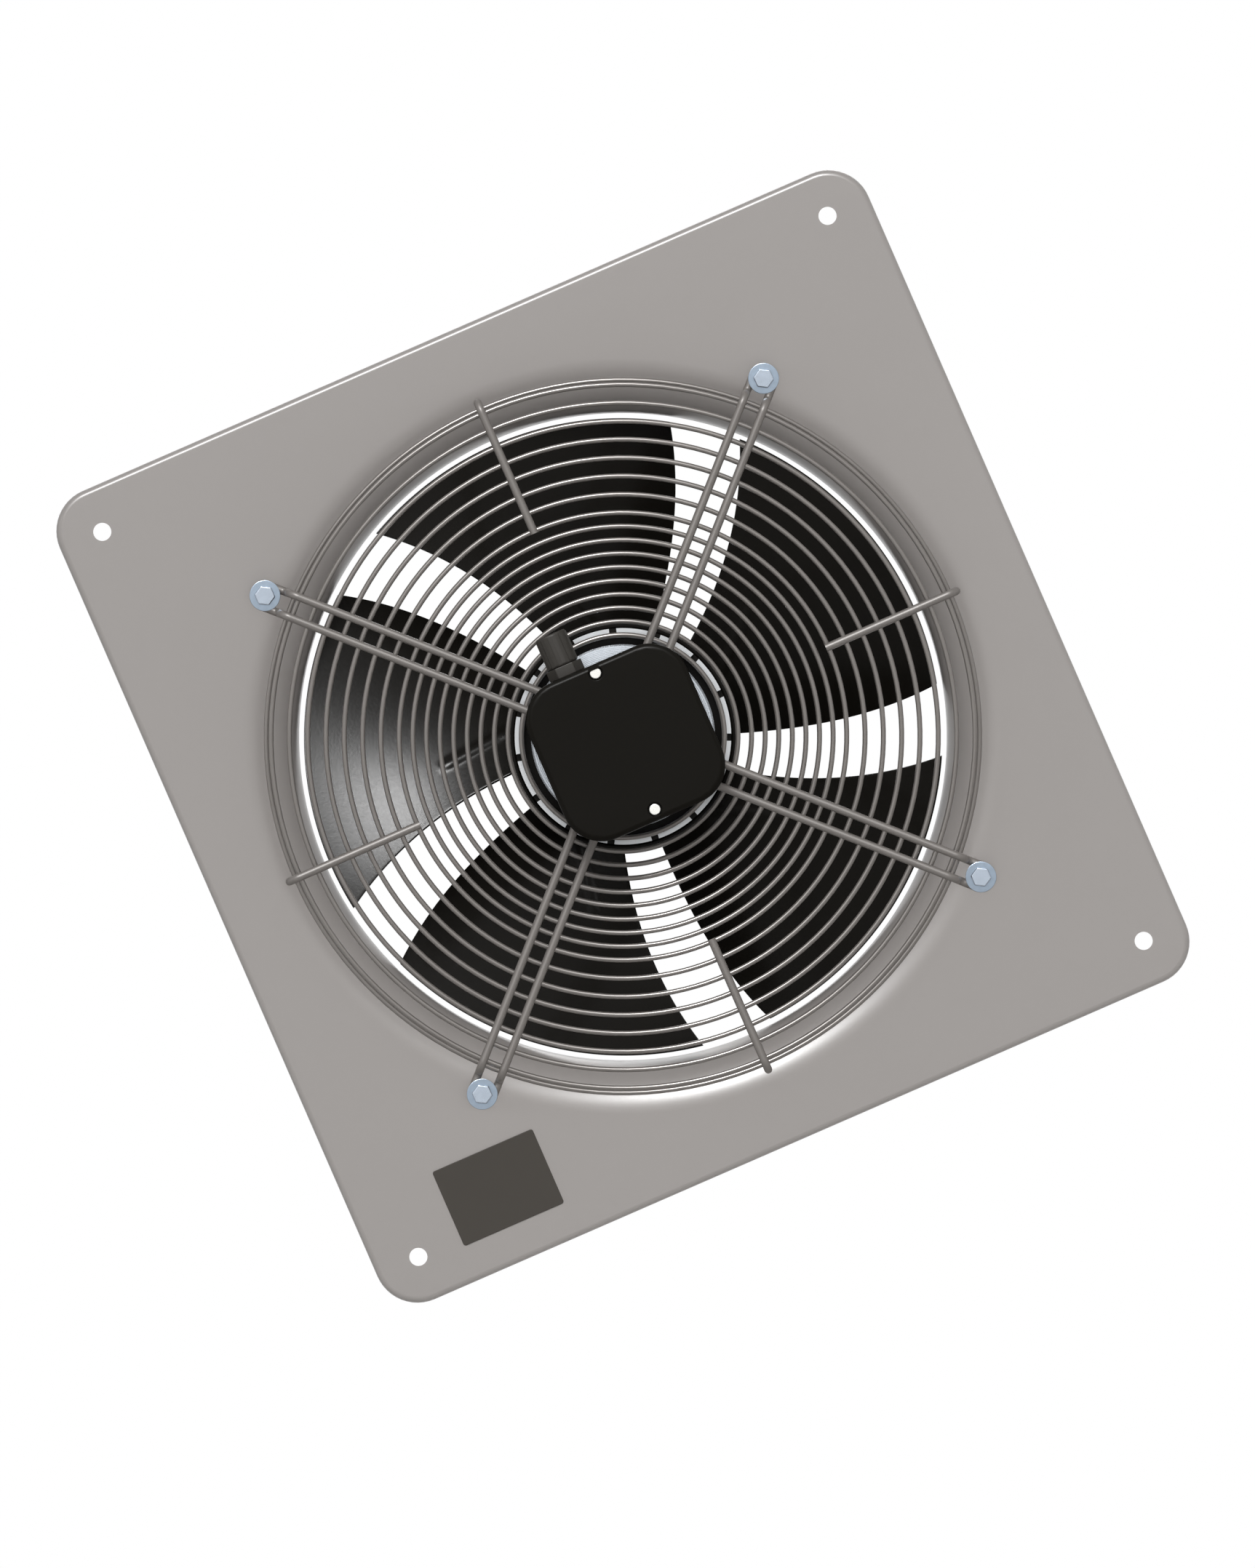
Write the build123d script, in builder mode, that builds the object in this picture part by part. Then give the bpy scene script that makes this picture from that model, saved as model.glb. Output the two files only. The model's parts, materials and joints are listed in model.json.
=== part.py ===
"""Wall-plate axial fan, size 350: a pressed square plate with a bell-mouth nozzle, a welded
wire guard that carries the motor, an external-rotor motor and five swept sheet-metal blades.

Millimetres. The fan's axis is the Y axis and air enters from -Y, the side with the guard and the
terminal box. +Z is up on the wall and +X is to the right of someone facing the guard. The origin
is the centre of the four wall-screw holes, on the front face of the plate. In the comments,
a height is a distance in front of that face, and a depth is one behind it.
"""

import os
from math import atan, cos, radians, sin

from build123d import *

os.makedirs("parts", exist_ok=True)

# Wall plate and nozzle
plate_side = 485.0
plate_sheet = 1.5
plate_corner_radius = 24.0
plate_fold_depth = 12.0
plate_fold_radius = 3.5
wall_hole_margin = 25.0
wall_hole_diameter = 10.0
nozzle_bore = 358.0
bell_radius = 29.0
nozzle_depth = 72.0

# Wire guard
ring_wire = 2.8
strut_wire = 4.5
wire_sides = 6
inner_ring_radius = 55.7
fine_pitch = 7.46
fine_ring_count = 10
coarse_ring_count = 7
outer_ring_inset = 2.8
guard_height = 23.4
base_ring_radius = 196.0
base_ring_height = 6.0
arm_leg_spacing = 12.2
arm_shoulder_radius = 6.0
arm_foot_radius = 4.5
arm_count = 4
strut_foot_height = 3.0
guard_fixing_radius = 211.4
motor_fixing_radius = 42.0

# Screws that hold the guard and the motor, M6
screw_diameter = 6.0
screw_head_width = 10.0
screw_head_height = 4.0
screw_clearance = 0.1
head_chamfer = 0.8
washer_diameter = 17.0
washer_thickness = 1.6
guard_screw_length = 14.0
motor_screw_length = 13.0
clinch_nut_diameter = 9.0
clinch_nut_depth = 5.0

# Motor flange and bearing tube
flange_diameter = 101.0
flange_thickness = 8.0
flange_chamfer = 1.0
skirt_diameter = 98.0
skirt_wall = 3.0
skirt_depth = 11.4
bearing_tube_wall = 4.0
bearing_tube_lip = 2.0
shaft_recess_diameter = 24.0
shaft_recess_height = 18.0
flange_rib_width = 3.0
flange_rib_depth = 6.0
flange_rib_count = 8

# Ball bearings, 12 by 32 by 10
bearing_bore = 12.0
bearing_outside = 32.0
bearing_width = 10.0
race_wall = 3.0
front_bearing_height = 4.0
ball_diameter = 5.95
ball_count = 7
ball_clearance = 0.1
cage_wall = 2.0
cage_width = 1.7
cage_offset = 1.8
spacer_wall = 2.0
wave_washer_thickness = 1.2
wave_washer_width = 2.6
circlip_thickness = 1.2
circlip_groove = 0.8
circlip_width = 3.0

# Stator
stator_diameter = 92.0
stack_front_height = -12.0
slot_count = 12
slot_width = 6.0
slot_length = 14.0
slot_mouth = 2.0
tooth_tip = 2.0
insulator_thickness = 1.5
winding_clearance = 0.4
winding_overhang = 8.5
winding_end_clearance = 4.0
winding_edge_radius = 3.0

# Rotor
air_gap = 0.4
rotor_diameter = 119.0
rotor_wall = 3.5
rotor_mouth_height = 10.0
rotor_back_depth = 64.0
rotor_end_wall = 4.0
rotor_boss_diameter = 18.0
rim_notch_count = 15
rim_notch_width = 4.0
rim_notch_depth = 4.0
rotor_vent_count = 5
rotor_vent_diameter = 9.0
rotor_vent_radius = 33.0
rotor_bar_count = 16
rotor_bar_width = 3.0
rotor_bar_length = 5.0
rotor_bar_cover = 1.0
rotor_ring_length = 5.0
shaft_tail = 2.0
shaft_front_height = 16.5
shaft_chamfer = 0.8

# Impeller
impeller_diameter = 351.6
hub_wall = 5.0
hub_front_depth = 6.0
hub_back_depth = 62.0
hub_edge_radius = 1.5
blade_count = 5
blade_sheet = 2.0
blade_axis_angle = 84.0
leading_edge_angles = (103.6, 109.7, 117.1)
trailing_edge_angles = (51.1, 53.4, 58.2)
root_section_radius = 45.0
root_section_slope = 0.9
root_section_height = -33.0
root_section_lead = 35.0
root_section_trail = 45.0
root_section_camber = 4.0
tip_section_radius = 180.0
tip_section_slope = 0.27
tip_section_height = -38.0
tip_section_lead = 125.0
tip_section_trail = 110.0
tip_section_camber = 9.0
bead_angle = 86.0
bead_length = 46.0
bead_width = 4.0
bead_sheet = 4.4

# Terminal box
box_width = 94.0
box_height = 92.5
box_drop = 3.75
box_corner_radius = 22.0
box_wall = 2.5
box_floor_height = 35.0
box_base_depth = 26.0
collar_diameter = 66.0
collar_wall = 3.0
pillar_diameter = 9.0
lid_depth = 6.0
lid_edge_radius = 3.0
gasket_thickness = 1.0
gasket_inset = 0.5
gasket_width = 1.5
lid_screw_middle = -3.1
lid_screw_spacing = 81.4
lid_screw_diameter = 3.5
lid_screw_head = 6.5
lid_screw_head_height = 2.0
lid_screw_length = 16.0
lid_pillar_diameter = 6.0
lid_pocket_diameter = 8.0
lid_pocket_depth = 2.5
lid_boss_wall = 1.5
box_screw_spacing_x = 24.0
box_screw_spacing_y = 28.0
box_screw_diameter = 4.0
box_screw_head = 7.5
box_screw_head_height = 2.5
box_screw_length = 20.0
lead_hole_diameter = 9.0
lead_hole_radius = 25.0
earth_screw_radius = 27.0
grommet_head_diameter = 13.0
grommet_head_height = 1.5
grommet_bore = 6.0
grommet_fit = 0.1

# Inside the terminal box
terminal_block_length = 46.0
terminal_block_width = 16.0
terminal_block_height = 12.0
terminal_block_x = -32.0
terminal_block_y = -10.0
terminal_count = 5
terminal_pitch = 8.5
terminal_rib = 1.2
terminal_well_depth = 3.0
terminal_screw_diameter = 4.0
terminal_screw_height = 2.0
capacitor_diameter = 25.0
capacitor_length = 52.0
capacitor_x = 30.0
capacitor_y = -4.0
capacitor_edge_radius = 1.5
clip_wall = 1.5
clip_width = 12.0
earth_washer_diameter = 9.0
earth_washer_thickness = 1.0

# Cable gland, M16
gland_x = -14.5
gland_height = 48.5
gland_thread_diameter = 16.0
gland_thread_length = 8.5
gland_hex_width = 18.0
gland_hex_length = 6.0
gland_neck_diameter = 14.0
gland_neck_length = 8.0
gland_bore = 10.0
gland_cap_diameter = 18.0
gland_cap_length = 18.5
gland_cap_mouth = 11.0
gland_cap_lip = 2.5
gland_cap_chamfer = 2.0
gland_seal_bore = 8.0
gland_fit = 0.1
locknut_width = 19.0
locknut_thickness = 4.0

# Rating plate, left blank
rating_plate_width = 60.0
rating_plate_height = 44.5
rating_plate_thickness = 0.6
rating_plate_side_margin = 80.5
rating_plate_foot_margin = 42.5
rating_plate_corner = 1.5

# How far a cut runs past the face that it has to clear
cut_overrun = 1.0

FRONT = Plane(origin=(0, 0, 0), x_dir=(1, 0, 0), z_dir=(0, -1, 0))
SIDE = Plane(origin=(0, 0, 0), x_dir=(1, 0, 0), z_dir=(0, 0, -1))


def save(shape, name):
    """Labels a finished piece and writes it as parts/NAME.step."""
    shape.label = name
    export_step(shape, f"parts/{name}.step")


def polar_point(radius, angle):
    """A point of the front view at a radius and an angle in degrees, counter-clockwise from +X."""
    return (radius * cos(radians(angle)), radius * sin(radians(angle)))


def front_plane(height):
    """The plane square to the fan's axis at a height, seen from the front."""
    return FRONT.offset(height)


def radial_plane(radius, angle):
    """The plane square to a radius: x runs round the fan, y towards the front, z outwards."""
    across, up = polar_point(1, angle)
    return Plane(
        origin=(radius * across, 0, radius * up), x_dir=(-up, 0, across), z_dir=(across, 0, up)
    )


def diagonal_plane(angle):
    """The plane that holds the fan's axis and a radius: x runs outwards, y towards the front."""
    across, up = polar_point(1, angle)
    return Plane(origin=(0, 0, 0), x_dir=(across, 0, up), z_dir=(up, 0, -across))


def turned(points):
    """A solid of revolution round the fan's axis, from (radius, height) corners."""
    with BuildPart() as body:
        with BuildSketch(SIDE):
            with BuildLine():
                Polyline(*points, close=True)
            make_face()
        revolve(axis=Axis.Y)
    return body.part


def turned_ring(inner, outer, low, high):
    """A plain ring round the fan's axis, between two radii and two heights."""
    return turned([(inner, low), (outer, low), (outer, high), (inner, high)])


# Sizes that follow from the ones above
wall_hole_spacing = plate_side - 2 * wall_hole_margin
throat_radius = nozzle_bore / 2
bell_entry_radius = throat_radius + bell_radius
strut_height = guard_height + strut_wire / 2
ring_height = guard_height - ring_wire / 2
leg_radius = base_ring_radius + ring_wire / 2 + strut_wire / 2
outer_fine_ring = inner_ring_radius + fine_pitch * (fine_ring_count - 1)
coarse_pitch = (base_ring_radius - outer_ring_inset - outer_fine_ring) / coarse_ring_count
ring_radii = [inner_ring_radius + fine_pitch * i for i in range(fine_ring_count)]
ring_radii += [outer_fine_ring + coarse_pitch * (i + 1) for i in range(coarse_ring_count)]
arm_angles = [360 / arm_count * (i + 1 / 2) for i in range(arm_count)]
strut_angles = [360 / arm_count * i for i in range(arm_count)]
guard_washer_height = strut_wire
motor_washer_height = guard_height + strut_wire

flange_radius = flange_diameter / 2
flange_back = guard_height - flange_thickness
skirt_radius = skirt_diameter / 2
bearing_radius = bearing_outside / 2
tube_radius = bearing_radius + bearing_tube_wall
front_bearing_front = front_bearing_height + bearing_width
bore_end = front_bearing_front + wave_washer_thickness
outer_race_inside = bearing_radius - race_wall
inner_race_outside = bearing_bore / 2 + race_wall
ball_track_radius = (outer_race_inside + inner_race_outside) / 2
cage_radius = ball_track_radius - cage_wall / 2

stator_radius = stator_diameter / 2
rotor_end_face = rotor_end_wall - rotor_back_depth
winding_end = rotor_end_face + winding_end_clearance
winding_back = winding_end + winding_overhang
stack_back_height = winding_back + insulator_thickness
stack_length = stack_front_height - stack_back_height
rear_bearing_height = stack_back_height
tube_end = rear_bearing_height - bearing_tube_lip
slot_middle = stator_radius - tooth_tip - slot_length / 2
winding_inner = slot_middle - slot_length / 2 + winding_clearance
winding_outer = slot_middle + slot_length / 2 - winding_clearance
winding_width = slot_width - 2 * winding_clearance
winding_front = stack_front_height + insulator_thickness

rotor_radius = rotor_diameter / 2
rotor_inside = rotor_radius - rotor_wall
rotor_bore = stator_radius + air_gap
rotor_bar_middle = rotor_bore + rotor_bar_cover + rotor_bar_length / 2
hub_radius = rotor_radius + hub_wall
tip_radius = impeller_diameter / 2

box_middle = -box_drop
box_top_edge = box_middle + box_height / 2
box_floor_top = box_floor_height + box_wall
box_base_top = box_floor_height + box_base_depth
lid_bottom = box_base_top + gasket_thickness
lid_top = lid_bottom + lid_depth
lid_pocket_floor = lid_top - lid_pocket_depth
box_screw_places = [
    (x * box_screw_spacing_x / 2, y * box_screw_spacing_y / 2) for x in (-1, 1) for y in (-1, 1)
]
lid_screw_places = [
    (0, lid_screw_middle + lid_screw_spacing / 2),
    (0, lid_screw_middle - lid_screw_spacing / 2),
]
collar_radius = collar_diameter / 2

rating_plate_x = rating_plate_side_margin - plate_side / 2
rating_plate_y = rating_plate_foot_margin - plate_side / 2


# Wall plate: a shallow tray of folded sheet, with the nozzle drawn out of its middle
with BuildPart() as wall_plate:
    with BuildSketch(FRONT):
        RectangleRounded(plate_side, plate_side, plate_corner_radius)
    extrude(amount=-plate_fold_depth)
    front_face = faces().sort_by(Axis.Y)[0]
    fillet(front_face.edges(), radius=plate_fold_radius)
    offset(amount=-plate_sheet, openings=faces().sort_by(Axis.Y)[-1])
    with BuildSketch(FRONT):
        Circle(bell_entry_radius)
        with GridLocations(wall_hole_spacing, wall_hole_spacing, 2, 2):
            Circle(wall_hole_diameter / 2)
        with PolarLocations(guard_fixing_radius, arm_count, start_angle=arm_angles[0]):
            Circle(screw_diameter / 2)
    extrude(amount=-plate_sheet, mode=Mode.SUBTRACT)
    with BuildSketch(SIDE):
        with BuildLine():
            front_roll = RadiusArc(
                (bell_entry_radius, 0), (throat_radius, -bell_radius), -bell_radius
            )
            nozzle_wall = Line(front_roll @ 1, (throat_radius, -nozzle_depth))
            nozzle_rim = Line(nozzle_wall @ 1, (throat_radius + plate_sheet, -nozzle_depth))
            nozzle_back = Line(nozzle_rim @ 1, (throat_radius + plate_sheet, -bell_radius))
            back_roll = RadiusArc(
                nozzle_back @ 1, (bell_entry_radius, -plate_sheet), bell_radius - plate_sheet
            )
            Line(back_roll @ 1, front_roll @ 0)
        make_face()
    revolve(axis=Axis.Y)
save(wall_plate.part, "wall_plate")


# Guard rings: closed wire rings, welded under the arms and struts
with BuildPart() as guard_rings:
    with BuildSketch(SIDE):
        with Locations(*[(radius, ring_height) for radius in ring_radii]):
            RegularPolygon(ring_wire / 2, wire_sides, major_radius=False)
    revolve(axis=Axis.Y)
save(guard_rings.part, "guard_rings")

with BuildPart() as guard_base_ring:
    with BuildSketch(SIDE):
        with Locations((base_ring_radius, base_ring_height)):
            RegularPolygon(
                ring_wire / 2, wire_sides, major_radius=False, rotation=180 / wire_sides
            )
    revolve(axis=Axis.Y)
save(guard_base_ring.part, "guard_base_ring")


def guard_arm(angle):
    """One arm: a closed link of wire, looped round a motor screw and round a guard screw."""
    plane = diagonal_plane(angle)
    side = arm_leg_spacing / 2
    foot = strut_wire / 2

    def at(radius, height, across):
        return plane.from_local_coords((radius, height, across))

    def leg(across):
        return [
            at(motor_fixing_radius, strut_height, across),
            at(leg_radius, strut_height, across),
            at(leg_radius, foot, across),
            at(guard_fixing_radius, foot, across),
        ]

    bends = [arm_shoulder_radius, arm_foot_radius]
    with BuildPart() as arm:
        with BuildLine() as path:
            out = FilletPolyline(*leg(side), radius=bends)
            ThreePointArc(
                at(guard_fixing_radius, foot, side),
                at(guard_fixing_radius + side, foot, 0),
                at(guard_fixing_radius, foot, -side),
            )
            FilletPolyline(*leg(-side), radius=bends)
            ThreePointArc(
                at(motor_fixing_radius, strut_height, -side),
                at(motor_fixing_radius - side, strut_height, 0),
                at(motor_fixing_radius, strut_height, side),
            )
        with BuildSketch(Plane(out @ 0, x_dir=plane.z_dir, z_dir=out % 0)):
            RegularPolygon(strut_wire / 2, wire_sides, major_radius=False)
        sweep(path=path.wires()[0])
    return arm.part


for number, angle in enumerate(arm_angles, start=1):
    save(guard_arm(angle), f"guard_arm_{number}")


def guard_strut(angle):
    """One short strut: it ties the outer rings together and turns down to the base ring."""
    plane = diagonal_plane(angle)
    with BuildPart() as strut:
        with BuildLine() as path:
            FilletPolyline(
                plane.from_local_coords((outer_fine_ring - ring_wire / 2, strut_height, 0)),
                plane.from_local_coords((leg_radius, strut_height, 0)),
                plane.from_local_coords((leg_radius, strut_foot_height, 0)),
                radius=arm_shoulder_radius,
            )
        with BuildSketch(Plane(path.line @ 0, x_dir=plane.z_dir, z_dir=path.line % 0)):
            RegularPolygon(strut_wire / 2, wire_sides, major_radius=False)
        sweep(path=path.wires()[0])
    return strut.part


for number, angle in enumerate(strut_angles, start=1):
    save(guard_strut(angle), f"guard_strut_{number}")


def hex_screw(diameter, length, width, head_height):
    """A hexagon-head screw standing on its tip side: the head's underside lies at z = 0."""
    with BuildPart() as screw:
        with BuildSketch():
            RegularPolygon(width / 2, 6, major_radius=False)
        extrude(amount=head_height)
        chamfer(faces().sort_by(Axis.Z)[-1].edges(), length=head_chamfer)
        with BuildSketch():
            Circle(diameter / 2)
        extrude(amount=-length)
    return screw.part


def pan_screw(diameter, length, head_diameter, head_height):
    """A pan-head screw standing on its tip side: the head's underside lies at z = 0."""
    with BuildPart() as screw:
        with BuildSketch():
            Circle(head_diameter / 2)
        extrude(amount=head_height)
        chamfer(faces().sort_by(Axis.Z)[-1].edges(), length=head_chamfer)
        with BuildSketch():
            Circle(diameter / 2)
        extrude(amount=-length)
    return screw.part


def placed(shape, height, places):
    """Copies of a small part made on the ground plane, set at places of the front view."""
    with BuildPart(front_plane(height)) as group:
        with Locations(*places):
            add(shape)
    return group.part


# Screws, washers and nuts of the guard and the motor
guard_places = [polar_point(guard_fixing_radius, angle) for angle in arm_angles]
motor_places = [polar_point(motor_fixing_radius, angle) for angle in arm_angles]

with BuildPart() as washer:
    with BuildSketch():
        Circle(washer_diameter / 2)
        Circle(screw_diameter / 2 + screw_clearance, mode=Mode.SUBTRACT)
    extrude(amount=washer_thickness)

with BuildPart() as clinch_nut:
    with BuildSketch():
        Circle(clinch_nut_diameter / 2)
        Circle(screw_diameter / 2 + screw_clearance, mode=Mode.SUBTRACT)
    extrude(amount=-clinch_nut_depth)

guard_screw = hex_screw(screw_diameter, guard_screw_length, screw_head_width, screw_head_height)
motor_screw = hex_screw(screw_diameter, motor_screw_length, screw_head_width, screw_head_height)
save(placed(washer.part, guard_washer_height, guard_places), "guard_washers")
save(placed(guard_screw, guard_washer_height + washer_thickness, guard_places), "guard_screws")
save(placed(clinch_nut.part, -plate_sheet, guard_places), "guard_nuts")
save(placed(washer.part, motor_washer_height, motor_places), "motor_washers")
save(placed(motor_screw, motor_washer_height + washer_thickness, motor_places), "motor_screws")


# Motor flange: a cast disc with a labyrinth skirt, ribs and the tube that holds the bearings
with BuildPart() as motor_flange:
    with BuildSketch(SIDE):
        with BuildLine():
            Polyline(
                (0, guard_height),
                (flange_radius - flange_chamfer, guard_height),
                (flange_radius, guard_height - flange_chamfer),
                (flange_radius, flange_back),
                (skirt_radius, flange_back),
                (skirt_radius, flange_back - skirt_depth),
                (skirt_radius - skirt_wall, flange_back - skirt_depth),
                (skirt_radius - skirt_wall, flange_back),
                (tube_radius, flange_back),
                (tube_radius, tube_end),
                (bearing_radius, tube_end),
                (bearing_radius, bore_end),
                (shaft_recess_diameter / 2, bore_end),
                (shaft_recess_diameter / 2, shaft_recess_height),
                (0, shaft_recess_height),
                close=True,
            )
        make_face()
    revolve(axis=Axis.Y)
    with BuildSketch(front_plane(flange_back)):
        rib_run = (skirt_radius - skirt_wall + tube_radius) / 2
        with PolarLocations(rib_run, flange_rib_count, start_angle=180 / flange_rib_count):
            Rectangle(skirt_radius - tube_radius - skirt_wall + flange_chamfer, flange_rib_width)
    extrude(amount=-flange_rib_depth)
    with BuildSketch(front_plane(guard_height)):
        with Locations(*motor_places):
            Circle(screw_diameter / 2 + screw_clearance)
        with Locations((0, -lead_hole_radius)):
            Circle(lead_hole_diameter / 2 + grommet_fit)
    extrude(amount=-flange_thickness, mode=Mode.SUBTRACT)
    with BuildSketch(front_plane(guard_height)):
        with Locations(*box_screw_places):
            Circle(box_screw_diameter / 2 + screw_clearance)
        with Locations((0, earth_screw_radius)):
            Circle(box_screw_diameter / 2 + screw_clearance)
    extrude(amount=box_floor_top - box_screw_length - guard_height - cut_overrun, mode=Mode.SUBTRACT)
save(motor_flange.part, "motor_flange")


# Ball bearings: both outer races sit in the tube, with a spacer between them
def race(inner, outer, low):
    """One bearing race with its ball track cut in."""
    middle = low + bearing_width / 2
    with BuildPart() as ring:
        with BuildSketch(SIDE):
            with Locations(((inner + outer) / 2, middle)):
                Rectangle(outer - inner, bearing_width)
            with Locations((ball_track_radius, middle)):
                Circle(ball_diameter / 2 + ball_clearance, mode=Mode.SUBTRACT)
        revolve(axis=Axis.Y)
    return ring.part


def ball_places(low):
    """The places of a bearing's balls, in the plane through their middles."""
    return front_plane(low + bearing_width / 2), PolarLocations(ball_track_radius, ball_count)


def bearing_balls(low):
    """The balls of one bearing, as separate solids."""
    plane, places = ball_places(low)
    with BuildPart(plane) as balls:
        with places:
            Sphere(ball_diameter / 2)
    return balls.part


def bearing_cage(low):
    """A crown cage behind the balls, with a shallow pocket for each."""
    plane, places = ball_places(low)
    with BuildPart(plane) as cage:
        with Locations((0, 0, -cage_offset)):
            Cylinder(
                cage_radius + cage_wall, cage_width, align=(Align.CENTER, Align.CENTER, Align.MAX)
            )
            Cylinder(
                cage_radius,
                cage_width,
                align=(Align.CENTER, Align.CENTER, Align.MAX),
                mode=Mode.SUBTRACT,
            )
        with places:
            Sphere(ball_diameter / 2 + ball_clearance, mode=Mode.SUBTRACT)
    return cage.part


for name, low in (("front", front_bearing_height), ("rear", rear_bearing_height)):
    save(race(outer_race_inside, bearing_radius, low), f"{name}_outer_race")
    save(race(bearing_bore / 2, inner_race_outside, low), f"{name}_inner_race")
    save(bearing_balls(low), f"{name}_balls")
    save(bearing_cage(low), f"{name}_ball_cage")

save(
    turned_ring(
        bearing_radius - spacer_wall,
        bearing_radius,
        rear_bearing_height + bearing_width,
        front_bearing_height,
    ),
    "bearing_spacer",
)
save(
    turned_ring(bearing_radius - wave_washer_width, bearing_radius, front_bearing_front, bore_end),
    "bearing_preload_washer",
)


# Stator: a slotted stack on the tube, an insulator at each end and the winding in the slots
def slotted_ring(inner, low, length):
    """A ring of the stator's outline, with its winding slots open to the air gap."""
    with BuildPart() as stack:
        with BuildSketch(front_plane(low)):
            Circle(stator_radius)
            Circle(inner, mode=Mode.SUBTRACT)
            with PolarLocations(slot_middle, slot_count):
                Rectangle(slot_length, slot_width, mode=Mode.SUBTRACT)
            with PolarLocations(stator_radius, slot_count):
                Rectangle(2 * tooth_tip + cut_overrun, slot_mouth, mode=Mode.SUBTRACT)
        extrude(amount=length)
    return stack.part


save(slotted_ring(tube_radius, stack_back_height, stack_length), "stator_core")
save(slotted_ring(tube_radius, stack_front_height, insulator_thickness), "front_insulator")
save(slotted_ring(tube_radius, winding_back, insulator_thickness), "rear_insulator")

with BuildPart() as stator_winding:
    with BuildSketch(front_plane(winding_back)):
        with PolarLocations((winding_inner + winding_outer) / 2, slot_count):
            Rectangle(winding_outer - winding_inner, winding_width)
    extrude(amount=winding_front - winding_back)
    for height, length in ((winding_front, winding_overhang), (winding_back, -winding_overhang)):
        with BuildSketch(front_plane(height)):
            Circle(winding_outer)
            Circle(winding_inner, mode=Mode.SUBTRACT)
        extrude(amount=length)
    fillet(
        faces().sort_by(Axis.Y)[0].edges() + faces().sort_by(Axis.Y)[-1].edges(),
        radius=winding_edge_radius,
    )
save(stator_winding.part, "stator_winding")


# Rotor: a cast bell with a notched rim, the laminations pressed in it and the squirrel cage
with BuildPart() as rotor_bell:
    with BuildSketch(SIDE):
        with BuildLine():
            Polyline(
                (bearing_bore / 2, -rotor_back_depth),
                (rotor_radius, -rotor_back_depth),
                (rotor_radius, rotor_mouth_height),
                (rotor_inside, rotor_mouth_height),
                (rotor_inside, rotor_end_face),
                (rotor_boss_diameter / 2, rotor_end_face),
                (rotor_boss_diameter / 2, rear_bearing_height),
                (bearing_bore / 2, rear_bearing_height),
                close=True,
            )
        make_face()
    revolve(axis=Axis.Y)
    with BuildSketch(front_plane(rotor_mouth_height)):
        with PolarLocations(rotor_radius - rotor_wall / 2, rim_notch_count):
            Rectangle(rotor_wall + cut_overrun, rim_notch_width)
    extrude(amount=-rim_notch_depth, mode=Mode.SUBTRACT)
    with BuildSketch(front_plane(rotor_end_face)):
        with PolarLocations(rotor_vent_radius, rotor_vent_count):
            Circle(rotor_vent_diameter / 2)
    extrude(amount=-rotor_end_wall, mode=Mode.SUBTRACT)
save(rotor_bell.part, "rotor_bell")

with BuildSketch(front_plane(stack_back_height)) as bar_section:
    with PolarLocations(rotor_bar_middle, rotor_bar_count):
        Rectangle(rotor_bar_length, rotor_bar_width)

with BuildPart() as rotor_core:
    with BuildSketch(front_plane(stack_back_height)):
        Circle(rotor_inside)
        Circle(rotor_bore, mode=Mode.SUBTRACT)
        add(bar_section.sketch, mode=Mode.SUBTRACT)
    extrude(amount=stack_length)
save(rotor_core.part, "rotor_core")

with BuildPart() as rotor_cage:
    extrude(bar_section.sketch, amount=stack_length)
    for low in (stack_front_height, stack_back_height - rotor_ring_length):
        with BuildSketch(front_plane(low)):
            Circle(rotor_inside)
            Circle(rotor_bore, mode=Mode.SUBTRACT)
        extrude(amount=rotor_ring_length)
save(rotor_cage.part, "rotor_cage")

with BuildPart() as shaft:
    with BuildSketch(SIDE):
        with BuildLine():
            Polyline(
                (0, -rotor_back_depth - shaft_tail),
                (bearing_bore / 2 - shaft_chamfer, -rotor_back_depth - shaft_tail),
                (bearing_bore / 2, -rotor_back_depth - shaft_tail + shaft_chamfer),
                (bearing_bore / 2, front_bearing_front),
                (bearing_bore / 2 - circlip_groove, front_bearing_front),
                (bearing_bore / 2 - circlip_groove, front_bearing_front + circlip_thickness),
                (bearing_bore / 2, front_bearing_front + circlip_thickness),
                (bearing_bore / 2, shaft_front_height - shaft_chamfer),
                (bearing_bore / 2 - shaft_chamfer, shaft_front_height),
                (0, shaft_front_height),
                close=True,
            )
        make_face()
    revolve(axis=Axis.Y)
save(shaft.part, "shaft")
save(
    turned_ring(
        bearing_bore / 2 - circlip_groove,
        bearing_bore / 2 - circlip_groove + circlip_width,
        front_bearing_front,
        front_bearing_front + circlip_thickness,
    ),
    "shaft_circlip",
)


# Impeller: a ring pressed on the bell and five blades welded to it
with BuildPart() as impeller_hub:
    with BuildSketch(SIDE):
        with Locations(
            ((rotor_radius + hub_radius) / 2, -(hub_front_depth + hub_back_depth) / 2)
        ):
            Rectangle(hub_wall, hub_back_depth - hub_front_depth)
    revolve(axis=Axis.Y)
    fillet(edges().filter_by(GeomType.CIRCLE).group_by(SortBy.RADIUS)[-1], radius=hub_edge_radius)
save(impeller_hub.part, "impeller_hub")


def blade_section(radius, slope, height, lead, trail, camber, sheet):
    """One cut through a blade: a cambered strip, its front edge towards the rotation."""
    half = sheet / cos(atan(slope)) / 2
    with BuildSketch(radial_plane(radius, blade_axis_angle)) as section:
        with BuildLine():
            middle = (lead - trail) / 2

            def arc(shift, start, end):
                return ThreePointArc(
                    (start, height + slope * start + shift),
                    (middle, height + slope * middle + camber + shift),
                    (end, height + slope * end + shift),
                )

            front = arc(half, -trail, lead)
            back = arc(-half, lead, -trail)
            Line(front @ 1, back @ 0)
            Line(back @ 1, front @ 0)
        make_face()
    return section.sketch


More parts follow.
